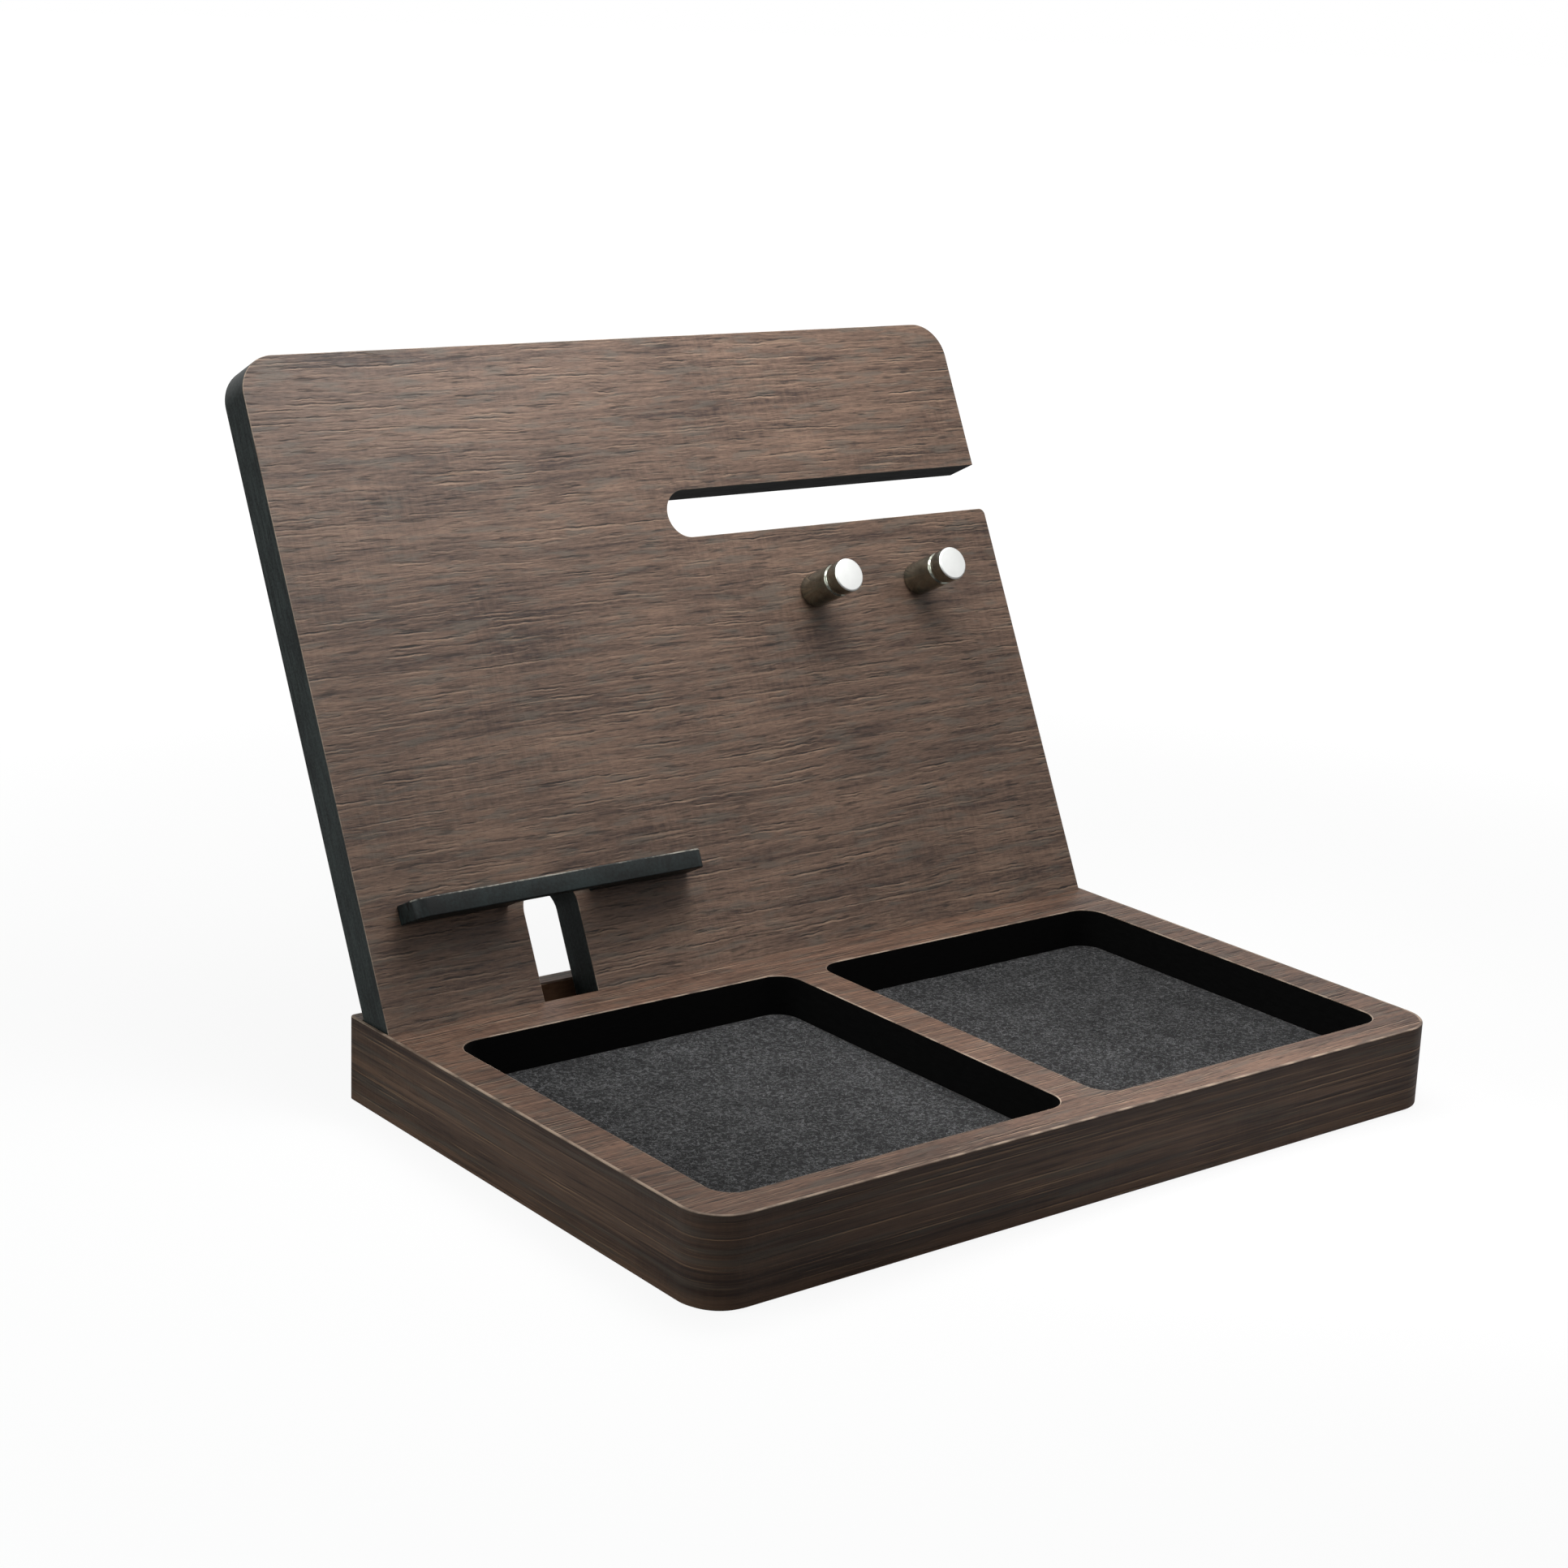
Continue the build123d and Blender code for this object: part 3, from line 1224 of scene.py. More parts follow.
@dataclass(frozen=True)
class Tray:
    """The base: a milled board with veneer, a side band and felt."""

    finishes: Finishes
    outline: TrayOutline = TrayOutline()
    lean: Lean = Lean()
    height: float = 29 * MM
    band_thickness: float = 1 * MM
    band_round: float = 0.25 * MM
    veneer_thickness: float = 0.6 * MM
    arris: float = 0.3 * MM
    underfelt_thickness: float = 1 * MM
    underfelt_inset: float = 2 * MM
    side_rim: float = 14 * MM
    front_rim: float = 12.5 * MM
    divider: tuple[float, float] = (-5.05 * MM, 8.45 * MM)
    pocket_length: float = 140.5 * MM
    pocket_radius: float = 8.5 * MM
    pocket_steps: int = 18
    felt_bottom: float = 14 * MM
    felt_thickness: float = 1.5 * MM
    felt_clearance: float = 0.3 * MM
    felt_cell: float = 2.6 * MM
    felt_ruffle: float = 0.22 * MM
    felt_ruffle_width: float = 9 * MM
    felt_turn: float = math.radians(40)
    fibre_margin: float = 3 * MM
    panel_thickness: float = 14 * MM
    groove_clearance: float = 0.25 * MM
    fibre_count: int = 2200

    @property
    def veneer_bottom(self) -> float:
        """Height of the veneer's underside."""
        return self.height - self.veneer_thickness

    @property
    def pocket_rows(self) -> tuple[float, float]:
        """Front and back of both pockets."""
        front = -self.outline.depth / 2 + self.front_rim
        return front, front + self.pocket_length

    @property
    def pocket_columns(self) -> tuple[tuple[float, float], tuple[float, float]]:
        """Left and right side of each pocket, the left one first."""
        wall = self.outline.width / 2 - self.side_rim
        return (-wall, self.divider[0]), (self.divider[1], wall)

    def pocket_block(
        self, name: str, sides: tuple[float, float], inset: float, bottom: float, top: float
    ) -> Object:
        """Models a block of one pocket's outline.

        Args:
            name: Name of the block.
            sides: Left and right side of the pocket.
            inset: How far the outline is drawn in.
            bottom: Height of its underside.
            top: Height of its top.

        Returns:
            The block.
        """
        front, back = self.pocket_rows
        low = (sides[0] + inset, front + inset, bottom)
        high = (sides[1] - inset, back - inset, top)
        piece = Bench.block(name, low, high)
        Bench.round_edges(piece, is_upright, self.pocket_radius - inset, self.pocket_steps)
        return piece

    def groove_block(self, back: float, front: float) -> Object:
        """Models a slanted block that clears the groove and all to one side of it.

        Args:
            back: Distance of its back from the panel's face, negative behind it.
            front: Distance of its front from the panel's face.

        Returns:
            The block, stood at the panel's slope.
        """
        reach = self.outline.width
        block = Bench.block("groove_cutter", (-reach, -reach, back), (reach, reach, front))
        self.lean.stand(block)
        return block

    def top_sheet(self) -> Piece:
        """Models the veneer in front of the groove, with its two openings.

        Returns:
            The piece.
        """
        sheet = self.outline.slab(
            "top_sheet", self.band_thickness, self.veneer_bottom, self.height
        )
        cutters = [
            self.pocket_block("pocket_cutter", sides, 0, 0, 2 * self.height)
            for sides in self.pocket_columns
        ]
        cutters.append(self.groove_block(-4 * self.panel_thickness, self.groove_clearance))
        Bench.combine(sheet, "DIFFERENCE", *cutters)
        Bench.round_edges(
            sheet,
            lambda edge: is_arris(edge)
            and ends(edge, lambda co: close(co.z, self.height) and self.is_pocket_rim(co)),
            self.arris,
        )
        looks = self.finishes
        Bench.paint(sheet, (looks.top_walnut, looks.worn_top, looks.pocket_paint), veneer_part)
        Bench.smooth(sheet)
        return Piece(sheet, Body.TRAY, "walnut_veneer", ("tray_top_veneer",))

    def is_pocket_rim(self, place: Vector) -> bool:
        """Says whether a place on the top surface lies at a pocket's rim.

        Args:
            place: The place.

        Returns:
            True within the pockets' rows and columns.
        """
        front, back = self.pocket_rows
        wall = self.pocket_columns[1][1]
        return front - NEAR < place.y < back + NEAR and abs(place.x) < wall + NEAR

    def rear_strip(self) -> Piece:
        """Models the narrow veneer strip behind the groove.

        Returns:
            The piece.
        """
        strip = self.outline.slab(
            "rear_strip", self.band_thickness, self.veneer_bottom, self.height
        )
        back_wall = -self.panel_thickness - self.groove_clearance
        Bench.combine(strip, "DIFFERENCE", self.groove_block(back_wall, 12 * self.panel_thickness))
        Bench.paint(strip, (self.finishes.top_walnut,))
        Bench.smooth(strip)
        return Piece(strip, Body.TRAY, "walnut_veneer", ("tray_rear_veneer",))

    def side_band(self) -> Piece:
        """Models the band round the tray, with its worn outer rims.

        Returns:
            The piece.
        """
        bottom = self.underfelt_thickness
        band = self.outline.slab("side_band", 0, bottom, self.height)
        inside = self.outline.slab("band_cutter", self.band_thickness, 0, 2 * self.height)
        Bench.combine(band, "DIFFERENCE", inside)
        Bench.slice_up(band, Vector((1, 0, 0)), (0.0,))
        Bench.round_edges(band, self.is_outer_rim, self.band_round)
        self.outline.unroll(band)
        looks = self.finishes
        Bench.paint(
            band,
            (looks.band_walnut, looks.worn_band),
            lambda middle, normal: 1 if normal.z > ROUND else 0,
        )
        Bench.smooth(band)
        return Piece(band, Body.TRAY, "walnut_veneer", ("tray_side_band",))

    def is_outer_rim(self, edge: BMEdge) -> bool:
        """Says whether an edge is part of the band's outer rim, at its top or its bottom.

        Args:
            edge: An edge of the band.

        Returns:
            True for an edge of the outer rim.
        """
        if is_upright(edge) or not is_arris(edge):
            return False
        walls = [face for face in edge.link_faces if abs(face.normal.z) < 0.5]
        middle = (edge.verts[0].co + edge.verts[1].co) / 2
        return bool(walls) and walls[0].normal.dot(middle) > 0

    def pocket_felt(
        self, name: str, solid: str, sides: tuple[float, float], seed: int
    ) -> list[Piece]:
        """Models one pocket's felt sheet and the loose fibres on it.

        Args:
            name: Name of the sheet.
            solid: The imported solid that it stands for.
            sides: Left and right side of the pocket.
            seed: Start of the random draws.

        Returns:
            The sheet and its fibres.
        """
        top = self.felt_bottom + self.felt_thickness
        sheet = self.pocket_block(name, sides, self.felt_clearance, self.felt_bottom, top)
        Bench.round_edges(
            sheet,
            lambda edge: is_arris(edge) and ends(edge, lambda co: close(co.z, top)),
            self.felt_thickness / 3,
        )
        left, right = sides
        front, back = self.pocket_rows
        self.grid(sheet, sides, (front, back))
        self.ruffle(sheet, top - self.felt_thickness / 2)
        Bench.paint(sheet, (self.finishes.felt,))
        Bench.smooth(sheet, self.felt_turn)
        margin = self.fibre_margin
        fibres = FibreFall(
            name + "_fibres",
            (left + margin, front + margin),
            (right - margin, back - margin),
            top,
            self.fibre_count,
            seed,
        ).scatter()
        Bench.paint(fibres, (self.finishes.felt_fibre,))
        gaps = 2 * self.felt_clearance
        size = (right - left - gaps, back - front - gaps)
        return [
            Piece(sheet, Body.TRAY, "felt", (solid,)),
            Piece(fibres, Body.TRAY, "felt"),
        ]

    def grid(
        self, sheet: Object, columns: tuple[float, float], rows: tuple[float, float]
    ) -> None:
        """Cuts a sheet into small cells, so that its surface can move.

        Args:
            sheet: The sheet.
            columns: Its left and right side.
            rows: Its front and back.
        """
        for along, (start, end) in ((Vector((1, 0, 0)), columns), (Vector((0, 1, 0)), rows)):
            count = round((end - start) / self.felt_cell)
            places = [start + (end - start) * (step + 1) / (count + 1) for step in range(count)]
            Bench.slice_up(sheet, along, places)

    def ruffle(self, sheet: Object, above: float) -> None:
        """Gives the top of a sheet the uneven surface of felt.

        Args:
            sheet: The sheet.
            above: Only what lies above this height moves.
        """
        group = sheet.vertex_groups.new(name="top")
        group.add([v.index for v in sheet.data.vertices if v.co.z > above], 1.0, "REPLACE")
        texture = bpy.data.textures.new("felt_ruffle", "CLOUDS")
        texture.noise_scale = self.felt_ruffle_width
        texture.noise_depth = 3
        Bench.apply(
            sheet,
            "DISPLACE",
            texture=texture,
            strength=self.felt_ruffle,
            mid_level=0.75,
            direction="Z",
            vertex_group="top",
        )
        bpy.data.textures.remove(texture)

    def base_felt(self) -> Piece:
        """Models the felt sheet that the tray stands on.

        Returns:
            The piece.
        """
        sheet = self.outline.slab("base_felt", self.underfelt_inset, 0, self.underfelt_thickness)
        half_width = self.outline.width / 2 - self.underfelt_inset
        half_depth = self.outline.depth / 2 - self.underfelt_inset
        Bench.paint(sheet, (self.finishes.felt,))
        Bench.smooth(sheet)
        size = (2 * half_width, 2 * half_depth)
        return Piece(sheet, Body.TRAY, "felt", ("underside_felt",))

    def build(self, core: Object) -> list[Piece]:
        """Models every piece of the tray and finishes the core's solid.

        Args:
            core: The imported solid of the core, which stays as it is.

        Returns:
            The pieces.
        """
        core.data.materials.clear()
        core.data.materials.append(self.finishes.core_board)
        left, right = self.pocket_columns
        return [
            self.top_sheet(),
            self.rear_strip(),
            self.side_band(),
            *self.pocket_felt("left_felt", "left_pocket_felt", left, 11),
            *self.pocket_felt("right_felt", "right_pocket_felt", right, 23),
            self.base_felt(),
        ]


@dataclass(frozen=True)
class FibreFall:
    """Short curled fibres that stand a little out of a felt sheet.

    Attributes:
        name: Name of the piece.
        low: Left front corner of the field.
        high: Right back corner of the field.
        height: Height of the felt's surface.
        count: Number of fibres.
        seed: Start of the random draws.
        radius: Radius of a fibre.
        reach: Least and greatest length of a fibre.
        curl: The most that a fibre turns from one point to the next, in radians.
        rises: Height of each of its points over the surface.
    """

    name: str
    low: tuple[float, float]
    high: tuple[float, float]
    height: float
    count: int
    seed: int
    radius: float = 0.09 * MM
    reach: tuple[float, float] = (1.2 * MM, 3.6 * MM)
    curl: float = 1.3
    rises: tuple[float, ...] = (-0.1 * MM, 0.22 * MM, 0.18 * MM, -0.1 * MM)

    def scatter(self) -> Object:
        """Draws every fibre as a spline and makes them one mesh.

        Returns:
            The fibres, as one object.
        """
        draw = random.Random(self.seed)
        curve = bpy.data.curves.new(self.name, "CURVE")
        curve.dimensions = "3D"
        curve.bevel_depth = self.radius
        curve.bevel_resolution = 0
        curve.resolution_u = 2
        curve.use_fill_caps = True
        for _ in range(self.count):
            self.fibre(curve, draw)
        fibres = bpy.data.objects.new(self.name, curve)
        bpy.context.scene.collection.objects.link(fibres)
        Bench.alone(fibres)
        bpy.ops.object.convert(target="MESH")
        return bpy.context.active_object

    def fibre(self, curve: Curve, draw: random.Random) -> None:
        """Draws one fibre, both ends in the felt and its middle out of it.

        Args:
            curve: The curve that takes the fibre.
            draw: Source of the random draws.
        """
        x = draw.uniform(self.low[0], self.high[0])
        y = draw.uniform(self.low[1], self.high[1])
        turn = draw.uniform(0, math.tau)
        curl = draw.uniform(-self.curl, self.curl)
        steps = len(self.rises) - 1
        step = draw.uniform(*self.reach) / steps
        spline = curve.splines.new("NURBS")
        spline.points.add(steps)
        for point, rise in zip(spline.points, self.rises):
            point.co = (x, y, self.height + rise, 1)
            x += step * math.cos(turn)
            y += step * math.sin(turn)
            turn += curl
        spline.order_u = 3
        spline.use_endpoint_u = True


# ---------------------------------------------------------------- the back panel
@dataclass(frozen=True)
class BackPanel:
    """The leaning panel: a board between two veneers, with slot, arch and mortises."""

    finishes: Finishes
    lean: Lean = Lean()
    half_width: float = 148.5 * MM
    height: float = 222.3 * MM
    foot_depth: float = 13 * MM
    thickness: float = 14 * MM
    veneer: float = 0.6 * MM
    corner_radius: float = 13 * MM
    corner_steps: int = 24
    arris: float = 0.25 * MM
    slot_bottom: float = 148.8 * MM
    slot_opening: float = 17.2 * MM
    slot_end: float = 3.8 * MM
    slot_lip: float = 2.5 * MM
    arch_middle: float = -79.5 * MM
    arch_radius: float = 10.5 * MM
    arch_crown: float = 40 * MM
    mortise_middle: float = 36.05 * MM
    mortise_half: tuple[float, float] = (12.15 * MM, 2.65 * MM)
    mortise_spacing: float = 68 * MM
    screw_hole_radius: float = 2.25 * MM
    counterbore_radius: float = 5 * MM
    counterbore_depth: float = 4 * MM
    round_sides: int = 96
    shaded_slope: float = -0.3

    def cutters(self) -> list[Object]:
        """Models what is cut out of every layer of the panel.

        Returns:
            The blocks and rods to cut with.
        """
        behind = -2 * self.thickness
        front = self.thickness
        through = front - behind
        slot_radius = self.slot_opening / 2
        slot_middle = self.slot_bottom + slot_radius
        slot_start = self.slot_end + slot_radius
        spring = self.arch_crown - self.arch_radius
        tools = [
            Bench.rod(
                "slot_end", slot_radius, (slot_start, slot_middle, behind), through, self.round_sides
            ),
            Bench.block(
                "slot_way",
                (slot_start, self.slot_bottom, behind),
                (self.half_width + front, self.slot_bottom + self.slot_opening, front),
            ),
            Bench.rod(
                "arch_crown", self.arch_radius, (self.arch_middle, spring, behind), through,
                self.round_sides,
            ),
            Bench.block(
                "arch_way",
                (self.arch_middle - self.arch_radius, -2 * self.foot_depth, behind),
                (self.arch_middle + self.arch_radius, spring, front),
            ),
        ]
        half_width, half_height = self.mortise_half
        for side in (-1, 1):
            middle = self.arch_middle + side * self.mortise_spacing / 2
            low = (middle - half_width, self.mortise_middle - half_height, behind)
            high = (middle + half_width, self.mortise_middle + half_height, front)
            tools.append(Bench.block("mortise", low, high))
        return tools + self.screw_ways(behind, through)

    def screw_ways(self, behind: float, through: float) -> list[Object]:
        """Models the holes and counterbores for the screws of the pegs.

        Args:
            behind: Where the rods start, behind the panel.
            through: Length of the rods.

        Returns:
            The rods to cut with.
        """
        seat = self.counterbore_depth - self.thickness
        tools = []
        for x in KeyPegs.MIDDLES:
            foot = (x, KeyPegs.HEIGHT, behind)
            for name, radius, length in (
                ("screw_hole", self.screw_hole_radius, through),
                ("counterbore", self.counterbore_radius, seat - behind),
            ):
                tools.append(Bench.rod(name, radius, foot, length, self.round_sides // 2))
        return tools

    def layer(self, name: str, back: float, front: float) -> Object:
        """Models one layer of the panel, lying down.

        Args:
            name: Name of the piece.
            back: Distance of its back from the panel's face, negative behind it.
            front: Distance of its front from the panel's face.

        Returns:
            The layer, with square arrises.
        """
        piece = Bench.block(
            name,
            (-self.half_width, -self.foot_depth, back),
            (self.half_width, self.height, front),
        )
        Bench.round_corners(piece, self.height, self.corner_radius, self.corner_steps)
        Bench.combine(piece, "DIFFERENCE", *self.cutters())
        Bench.round_edges(
            piece,
            lambda edge: ends(
                edge, lambda co: close(co.x, self.half_width) and close(co.y, self.slot_bottom)
            ),
            self.slot_lip,
            self.corner_steps // 3,
        )
        return piece

    def veneer_sheet(
        self, name: str, solid: str, walnut: Material, outside: float, out: int
    ) -> Piece:
        """Models the veneer on one side of the panel.

        Args:
            name: Name of the piece.
            solid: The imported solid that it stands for.
            walnut: Finish of its outer face.
            outside: Distance of its outer face from the panel's face.
            out: 1 for the veneer on the face and -1 for the one on the back.

        Returns:
            The piece.
        """
        inside = outside - out * self.veneer
        sheet = self.layer(name, min(inside, outside), max(inside, outside))
        Bench.round_edges(
            sheet,
            lambda edge: is_arris(edge) and ends(edge, lambda co: close(co.z, outside)),
            self.arris,
        )
        looks = self.finishes
        Bench.paint(
            sheet, (walnut, looks.worn_face, looks.panel_edge), partial(veneer_part, out=out)
        )
        Bench.smooth(sheet)
        self.lean.stand(sheet)
        return Piece(sheet, Body.PANEL, "walnut_veneer", (solid,))

    def board(self) -> Piece:
        """Models the board between the veneers.

        Returns:
            The piece.
        """
        board = self.layer("panel_board", self.veneer - self.thickness, -self.veneer)
        looks = self.finishes
        # The slot's upper wall, which faces down, takes the darker copy of the edge paint as painted
        # shade.
        Bench.paint(
            board,
            (looks.panel_edge, looks.slot_painted_shade),
            lambda middle, normal: 1 if self.is_shaded(middle, normal) else 0,
        )
        Bench.smooth(board)
        self.lean.stand(board)
        return Piece(board, Body.PANEL, "black_board", ("panel_core",))

    def is_shaded(self, middle: Vector, normal: Vector) -> bool:
        """Says whether a face of the board is part of the slot's upper wall, which is painted darker as
        shade.
        """
        inside = self.slot_bottom < middle.y < self.slot_bottom + self.slot_opening + NEAR
        return inside and normal.y < self.shaded_slope

    def build(self) -> list[Piece]:
        """Models every layer of the panel.

        Returns:
            The pieces.
        """
        looks = self.finishes
        return [
            self.veneer_sheet("face_veneer", "panel_front_veneer", looks.face_walnut, 0, 1),
            self.board(),
            self.veneer_sheet(
                "back_veneer", "panel_rear_veneer", looks.back_walnut, -self.thickness, -1
            ),
        ]


# ---------------------------------------------------------------- the phone ledge
@dataclass(frozen=True)
class PhoneLedge:
    """The black ledge, with its cable notch and the tenons that hold it in the panel."""

    finishes: Finishes
    lean: Lean = Lean()
    left: float = -135.5 * MM
    right: float = -23.5 * MM
    bottom: float = 32.8 * MM
    top: float = 39.3 * MM
    reach: float = 13 * MM
    corner_radius: float = 4.5 * MM
    corner_steps: int = 12
    arris: float = 0.5 * MM
    arris_steps: int = 4
    turn: float = math.radians(25)
    notch_half: float = 16 * MM
    notch_reach: float = 8.5 * MM
    notch_radius: float = 3 * MM
    notch_steps: int = 8
    tenon_half: tuple[float, float] = (12 * MM, 2.5 * MM)
    tenon_spacing: float = 68 * MM
    tenon_length: float = 14 * MM

    def build(self) -> list[Piece]:
        """Models the ledge.

        Returns:
            The piece, in a list.
        """
        middle = (self.left + self.right) / 2
        ledge = Bench.block(
            "ledge", (self.left, self.bottom, 0), (self.right, self.top, self.reach)
        )
        self.round_front(ledge, self.reach, self.corner_radius, self.corner_steps)
        Bench.combine(ledge, "DIFFERENCE", self.notch(middle))
        Bench.round_edges(ledge, self.is_outer_arris, self.arris, self.arris_steps)
        Bench.combine(ledge, "UNION", *self.tenons(middle))
        looks = self.finishes
        Bench.paint(
            ledge,
            (looks.ledge_paint, looks.ledge_worn),
            lambda place, normal: 1 if ROUND < normal.y < FLAT and place.z > self.reach / 2 else 0,
        )
        Bench.smooth(ledge, self.turn)
        self.lean.stand(ledge)
        return [Piece(ledge, Body.LEDGE, "ledge_black", ("phone_ledge",))]

    def notch(self, middle: float) -> Object:
        """Models the block that clears the cable notch.

        Args:
            middle: Middle of the ledge.

        Returns:
            The block to cut with.
        """
        block = Bench.block(
            "notch",
            (middle - self.notch_half, self.bottom - self.reach, -self.reach),
            (middle + self.notch_half, self.top + self.reach, self.notch_reach),
        )
        self.round_front(block, self.notch_reach, self.notch_radius, self.notch_steps)
        return block

    @staticmethod
    def round_front(block: Object, z: float, radius: float, steps: int) -> None:
        """Rounds the two front corners of a block that lies on the panel.

        Args:
            block: The block.
            z: Distance of its front from the panel's face.
            radius: Radius of the corners.
            steps: Number of flats that make each corner.
        """
        Bench.round_edges(
            block,
            lambda edge: not close(edge.verts[0].co.y, edge.verts[1].co.y)
            and ends(edge, lambda co: close(co.z, z)),
            radius,
            steps,
        )

    def is_outer_arris(self, edge: BMEdge) -> bool:
        """Says whether an edge is an upper or lower arris away from the panel's face.

        Args:
            edge: An edge of the ledge.

        Returns:
            True for an arris that is rounded.
        """
        return (
            is_arris(edge)
            and close(edge.verts[0].co.y, edge.verts[1].co.y)
            and any(corner.co.z > NEAR for corner in edge.verts)
        )

    def tenons(self, middle: float) -> list[Object]:
        """Models the two tenons.

        Args:
            middle: Middle of the ledge.

        Returns:
            The blocks to join to the ledge.
        """
        half_width, half_height = self.tenon_half
        height = (self.bottom + self.top) / 2
        blocks = []
        for side in (-1, 1):
            x = middle + side * self.tenon_spacing / 2
            low = (x - half_width, height - half_height, -self.tenon_length)
            blocks.append(
                Bench.block("tenon", low, (x + half_width, height + half_height, self.reach / 4))
            )
        return blocks


# ---------------------------------------------------------------- the key pegs
@dataclass(frozen=True)
class KeyPegs:
    """Two turned pegs, each held from behind by a socket screw on a washer."""

    finishes: Finishes
    lean: Lean = Lean()
    radius: float = 6.1 * MM
    length: float = 22 * MM
    edge: float = 0.5 * MM
    ring_middle: float = 16 * MM
    ring_half: float = 1.2 * MM
    ring_depth: float = 0.7 * MM
    ring_round: float = 0.22 * MM
    ring_turn: float = math.radians(20)
    turn: float = math.radians(35)
    bore_radius: float = 2.05 * MM
    bore_depth: float = 10.5 * MM
    sides: int = 96
    bore_sides: int = 48
    washer_seat: float = -10 * MM
    washer_thickness: float = 0.8 * MM
    washer_radius: float = 4.5 * MM
    washer_hole: float = 2.25 * MM
    washer_rim: float = 0.12 * MM
    head_radius: float = 4 * MM
    head_rim: float = 0.4 * MM
    head_height: float = 2.6 * MM
    shank_radius: float = 2 * MM
    grip: float = 9 * MM
    socket_sides: int = 6
    socket_width: float = 2.5 * MM
    socket_depth: float = 1.5 * MM

    MIDDLES = (59 * MM, 107.5 * MM)
    HEIGHT = 124.5 * MM

    def turned(self, name: str, stations: Sequence[tuple[float, float]]) -> Object:
        """Models a turned piece by extruding a disc from station to station.

        Args:
            name: Name of the piece.
            stations: Distance from the panel's face and radius at each station.

        Returns:
            The piece, on the first peg's axis, lying down.
        """
        x = self.MIDDLES[0]
        (start, first), *others = stations
        bpy.ops.object.select_all(action="DESELECT")
        bpy.ops.mesh.primitive_circle_add(
            vertices=self.sides, radius=first, fill_type="NGON", location=(x, self.HEIGHT, start)
        )
        piece = Bench.settle(name)
        with Bench.editing(piece):
            bpy.ops.mesh.select_all(action="SELECT")
            before, radius = start, first
            for place, wanted in others:
                bpy.ops.mesh.extrude_region_move(
                    TRANSFORM_OT_translate={"value": (0, 0, place - before)}
                )
                share = wanted / radius
                bpy.ops.transform.resize(
                    value=(share, share, 1), center_override=(x, self.HEIGHT, place)
                )
                before, radius = place, wanted
        Bench.face_out(piece)
        return piece

    def peg(self, name: str) -> Object:
        """Models one peg, with eased rims, its ring groove and its bore.

        Args:
            name: Name of the piece.

        Returns:
            The peg, lying down.
        """
        small = self.radius - self.edge
        low, high = self.ring_middle - self.ring_half, self.ring_middle + self.ring_half
        inner = self.radius - self.ring_depth
        piece = self.turned(name, (
            (0, small),
            (self.edge, self.radius),
            (low, self.radius),
            (low + self.ring_depth, inner),
            (high - self.ring_depth, inner),
            (high, self.radius),
            (self.length - self.edge, self.radius),
            (self.length, small),
        ))
        Bench.round_edges(piece, self.is_ring_edge, self.ring_round)
        self.drill(piece, self.bore_radius, -self.length, self.bore_depth, self.bore_sides)
        looks = self.finishes
        # The head end takes the brighter steel as a painted highlight, and the sides take the darker
        # steel as a painted reflection.
        Bench.paint(
            piece,
            (looks.shank_steel_painted_reflection, looks.head_steel_painted_highlight),
            lambda middle, normal: 1 if middle.z > self.length - self.edge else 0,
        )
        return piece

    def drill(
        self, piece: Object, radius: float, start: float, end: float, sides: int
    ) -> None:
        """Clears a hole on the first peg's axis and shades the piece.

        Args:
            piece: The turned piece.
            radius: Radius of the hole, or of the circle through its corners.
            start: Distance of its back end from the panel's face, negative behind it.
            end: Distance of its front end.
            sides: Number of its sides.
        """
        foot = (self.MIDDLES[0], self.HEIGHT, start)
        tool = Bench.rod("drill", radius, foot, end - start, sides)
        Bench.combine(piece, "DIFFERENCE", tool)
        Bench.smooth(piece, self.turn)

    def is_ring_edge(self, edge: BMEdge) -> bool:
        """Says whether an edge runs round a peg where its outline turns."""
        level = not is_upright(edge) and len(edge.link_faces) == 2
        return level and edge.calc_face_angle() > self.ring_turn

    def screw(self) -> Object:
        """Models one socket screw.

        Returns:
            The screw, lying down.
        """
        seat = self.washer_seat - self.washer_thickness
        back = seat - self.head_height
        rim = self.head_rim
        piece = self.turned("screws", (
            (back, self.head_radius - rim),
            (back + rim, self.head_radius),
            (seat, self.head_radius),
            (seat, self.shank_radius),
            (self.grip - rim, self.shank_radius),
            (self.grip, self.shank_radius - rim),
        ))
        across_corners = self.socket_width / math.cos(math.pi / self.socket_sides)
        depth = self.socket_depth
        self.drill(piece, across_corners / 2, back - depth, back + depth, self.socket_sides)
        Bench.paint(piece, (self.finishes.zinc,))
        return piece

    def washer(self) -> Object:
        """Models one flat washer.

        Returns:
            The washer, lying down.
        """
        seat, thickness = self.washer_seat, self.washer_thickness
        back = seat - thickness
        rim = self.washer_rim
        piece = self.turned("washers", (
            (back, self.washer_radius - rim),
            (back + rim, self.washer_radius),
            (seat - rim, self.washer_radius),
            (seat, self.washer_radius - rim),
        ))
        self.drill(piece, self.washer_hole, back - thickness, seat + thickness, self.bore_sides)
        Bench.paint(piece, (self.finishes.zinc,))
        return piece

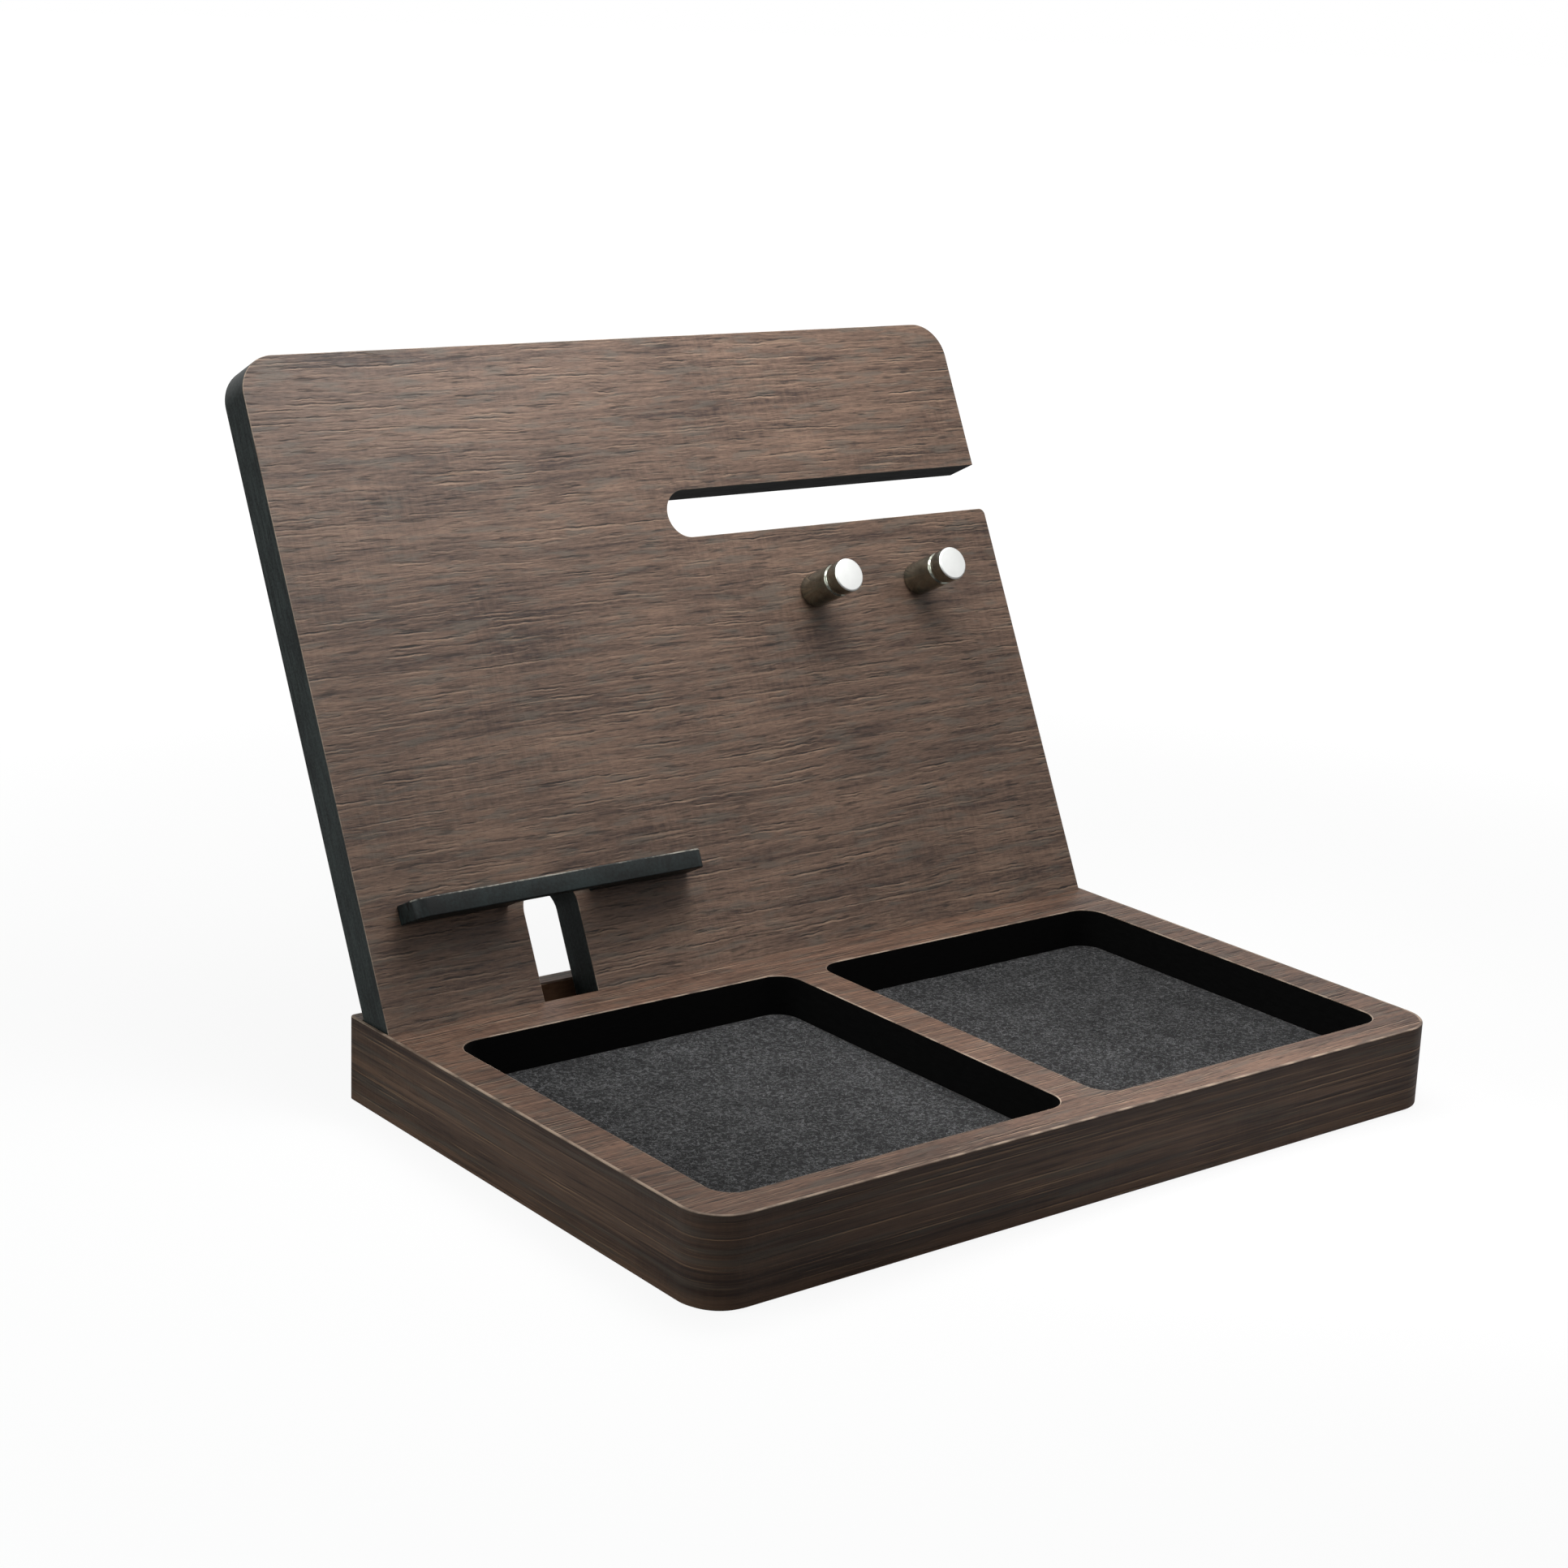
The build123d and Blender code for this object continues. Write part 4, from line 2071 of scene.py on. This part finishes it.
    def build(self) -> list[Piece]:
        """Models the pegs, their screws and their washers.

        Returns:
            The pieces.
        """
        spacing = Vector((self.MIDDLES[1] - self.MIDDLES[0], 0, 0))
        left = self.peg("left_peg")
        right = Bench.copy_of(left, "right_peg", spacing)
        screws = self.screw()
        Bench.join(screws, Bench.copy_of(screws, "second_screw", spacing))
        washers = self.washer()
        Bench.join(washers, Bench.copy_of(washers, "second_washer", spacing))
        for shape in (left, right, screws, washers):
            self.lean.stand(shape)
        return [
            Piece(left, Body.PANEL, "peg_steel", ("left_key_peg",)),
            Piece(right, Body.PANEL, "peg_steel", ("right_key_peg",)),
            Piece(screws, Body.PANEL, "fastener_steel", ("peg_screws",)),
            Piece(washers, Body.PANEL, "fastener_steel", ("peg_washers",)),
        ]


# ---------------------------------------------------------------- the studio
@dataclass(frozen=True)
class Softbox:
    """One rectangular lamp that points at the object.

    Attributes:
        name: Name of the lamp.
        place: Where it hangs.
        target: What it points at.
        size: Width and height.
        power: Power, in watts.
        colour: Colour of its light.
        spread: Angle of its beam, in radians.
    """

    name: str
    place: Place
    target: Place
    size: tuple[float, float]
    power: float
    colour: Colour = (1.0, 1.0, 1.0)
    spread: float = math.pi

    def hang(self) -> None:
        """Adds the lamp to the scene."""
        lamp = bpy.data.lights.new(self.name, "AREA")
        lamp.shape = "RECTANGLE"
        lamp.size, lamp.size_y = self.size
        lamp.energy = self.power
        lamp.color = self.colour
        lamp.spread = self.spread
        holder = bpy.data.objects.new(self.name, lamp)
        holder.location = self.place
        aim = Vector(self.target) - Vector(self.place)
        holder.rotation_euler = aim.to_track_quat("-Z", "Y").to_euler()
        bpy.context.scene.collection.objects.link(holder)


@dataclass(frozen=True)
class Studio:
    """Camera, floor, backdrop and lamps.

    Attributes:
        camera_place: Where the camera stands.
        heading: How far it is turned from +Y towards +X, in radians.
        dip: How far it looks down, in radians.
        roll: How far it is rolled, in radians.
        focal_pixels: Focal length in pixels of the picture.
        picture_pixels: Width of the picture.
        floor_size: Side of the floor.
        glow: How much of the floor's white is its own, to the camera, beside the object.
        shadow_fade: Distances between which it becomes all its own.
        ambient: Brightness of the room's even light.
        sensor: Width of the camera's sensor, in millimetres.
        floor_grey: How much light the floor gives back.
        floor_white: Brightness of the white that is the floor's own.
        lamps: The lamps.
    """

    camera_place: Place = (-588.136 * MM, -670.075 * MM, 347.725 * MM)
    heading: float = 0.673
    dip: float = 0.265
    roll: float = 0.041
    focal_pixels: float = 3586.0
    picture_pixels: float = 1932.0
    floor_size: float = 40.0
    glow: float = 0.85
    shadow_fade: tuple[float, float] = (0.3, 0.9)
    ambient: float = 0.08
    sensor: float = 36.0
    floor_grey: float = 0.5
    floor_white: float = 1.08
    lamps: tuple[Softbox, ...] = (
        Softbox("key", (0.6, -0.6, 0.75), (0.0, 0.05, 0.1), (0.5, 0.5), 0.3),
        Softbox("top", (0.1, 0.0, 0.52), (0.0, 0.05, 0.05), (0.4, 0.3), 1.8),
        Softbox("strip", (-0.03, 0.08, 0.45), (0.0, 0.13, 0.1), (0.3, 0.15), 0.95),
        Softbox("rim", (0.1, -0.08, 0.42), (0.06, -0.11, 0.03), (0.35, 0.08), 0.12, spread=0.6),
        Softbox("fill", (-0.9, 0.2, 0.4), (0.0, 0.0, 0.02), (0.6, 0.6), 3.7, (0.94, 1.0, 0.99)),
    )

    def camera(self) -> None:
        """Adds the camera at the photograph's viewpoint."""
        forward = Vector((
            math.sin(self.heading) * math.cos(self.dip),
            math.cos(self.heading) * math.cos(self.dip),
            -math.sin(self.dip),
        ))
        level = Vector((math.cos(self.heading), -math.sin(self.heading), 0))
        upright = level.cross(forward)
        right = level * math.cos(self.roll) + upright * math.sin(self.roll)
        up = upright * math.cos(self.roll) - level * math.sin(self.roll)
        data = bpy.data.cameras.new("camera")
        data.sensor_width = self.sensor
        data.lens = self.sensor * self.focal_pixels / self.picture_pixels
        camera = bpy.data.objects.new("camera", data)
        turn = Matrix((right, up, -forward)).transposed().to_4x4()
        camera.matrix_world = Matrix.Translation(self.camera_place) @ turn
        bpy.context.scene.collection.objects.link(camera)
        bpy.context.scene.camera = camera

    def floor(self) -> None:
        """Adds the pale floor, which keeps the object's shadow."""
        bpy.ops.object.select_all(action="DESELECT")
        bpy.ops.mesh.primitive_plane_add(size=self.floor_size)
        floor = Bench.settle("floor")
        recipe = Recipe.named("floor")
        rays = recipe.add("ShaderNodeLightPath", {})
        place = recipe.add("ShaderNodeTexCoord", {})
        distance = recipe.add(
            "ShaderNodeVectorMath", {0: place.outputs["Object"]}, operation="LENGTH"
        )
        away = Value(recipe, distance.outputs["Value"]).rising(*self.shadow_fade)
        seen = Value(recipe, rays.outputs["Is Camera Ray"]) * (self.glow + away * (1 - self.glow))
        grey = (self.floor_grey, self.floor_grey, self.floor_grey, 1)
        matt = recipe.add("ShaderNodeBsdfDiffuse", {"Color": grey})
        glow = recipe.add(
            "ShaderNodeEmission", {"Color": (1, 1, 1, 1), "Strength": self.floor_white}
        )
        mix = recipe.add("ShaderNodeMixShader", {0: seen, 1: matt.outputs[0], 2: glow.outputs[0]})
        recipe.add("ShaderNodeOutputMaterial", {"Surface": mix.outputs[0]})
        floor.data.materials.append(recipe.owner)

    def backdrop(self) -> None:
        """Makes the room white to the eye and in reflections, and softer as light."""
        world = bpy.data.worlds.new("studio")
        bpy.context.scene.world = world
        recipe = Recipe(world)
        rays = recipe.add("ShaderNodeLightPath", {}).outputs
        glossy = recipe.maths("MAXIMUM", rays["Is Camera Ray"], rays["Is Glossy Ray"])
        shown = recipe.maths("MAXIMUM", glossy, rays["Is Transmission Ray"])
        room, white = (
            recipe.add("ShaderNodeBackground", {"Color": (1, 1, 1, 1), "Strength": strength})
            for strength in (self.ambient, 1.0)
        )
        mix = recipe.add("ShaderNodeMixShader", {0: shown, 1: room.outputs[0], 2: white.outputs[0]})
        recipe.add("ShaderNodeOutputWorld", {"Surface": mix.outputs[0]})

    def build(self) -> None:
        """Sets the whole studio up."""
        bpy.context.scene.view_settings.view_transform = "Standard"
        self.camera()
        self.floor()
        self.backdrop()
        for lamp in self.lamps:
            lamp.hang()


def main() -> None:
    """Builds the object around its solids, and the studio around the object."""
    logging.basicConfig(level=logging.INFO, format="%(message)s")
    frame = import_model()
    Studio().build()
    finishes = Finishes.build()
    pieces = Tray(finishes).build(frame["nodes"]["tray_core"])
    pieces += BackPanel(finishes).build()
    pieces += PhoneLedge(finishes).build()
    pieces += KeyPegs(finishes).build()
    for piece in pieces:
        piece.place()


if __name__ == "__main__":
    main()
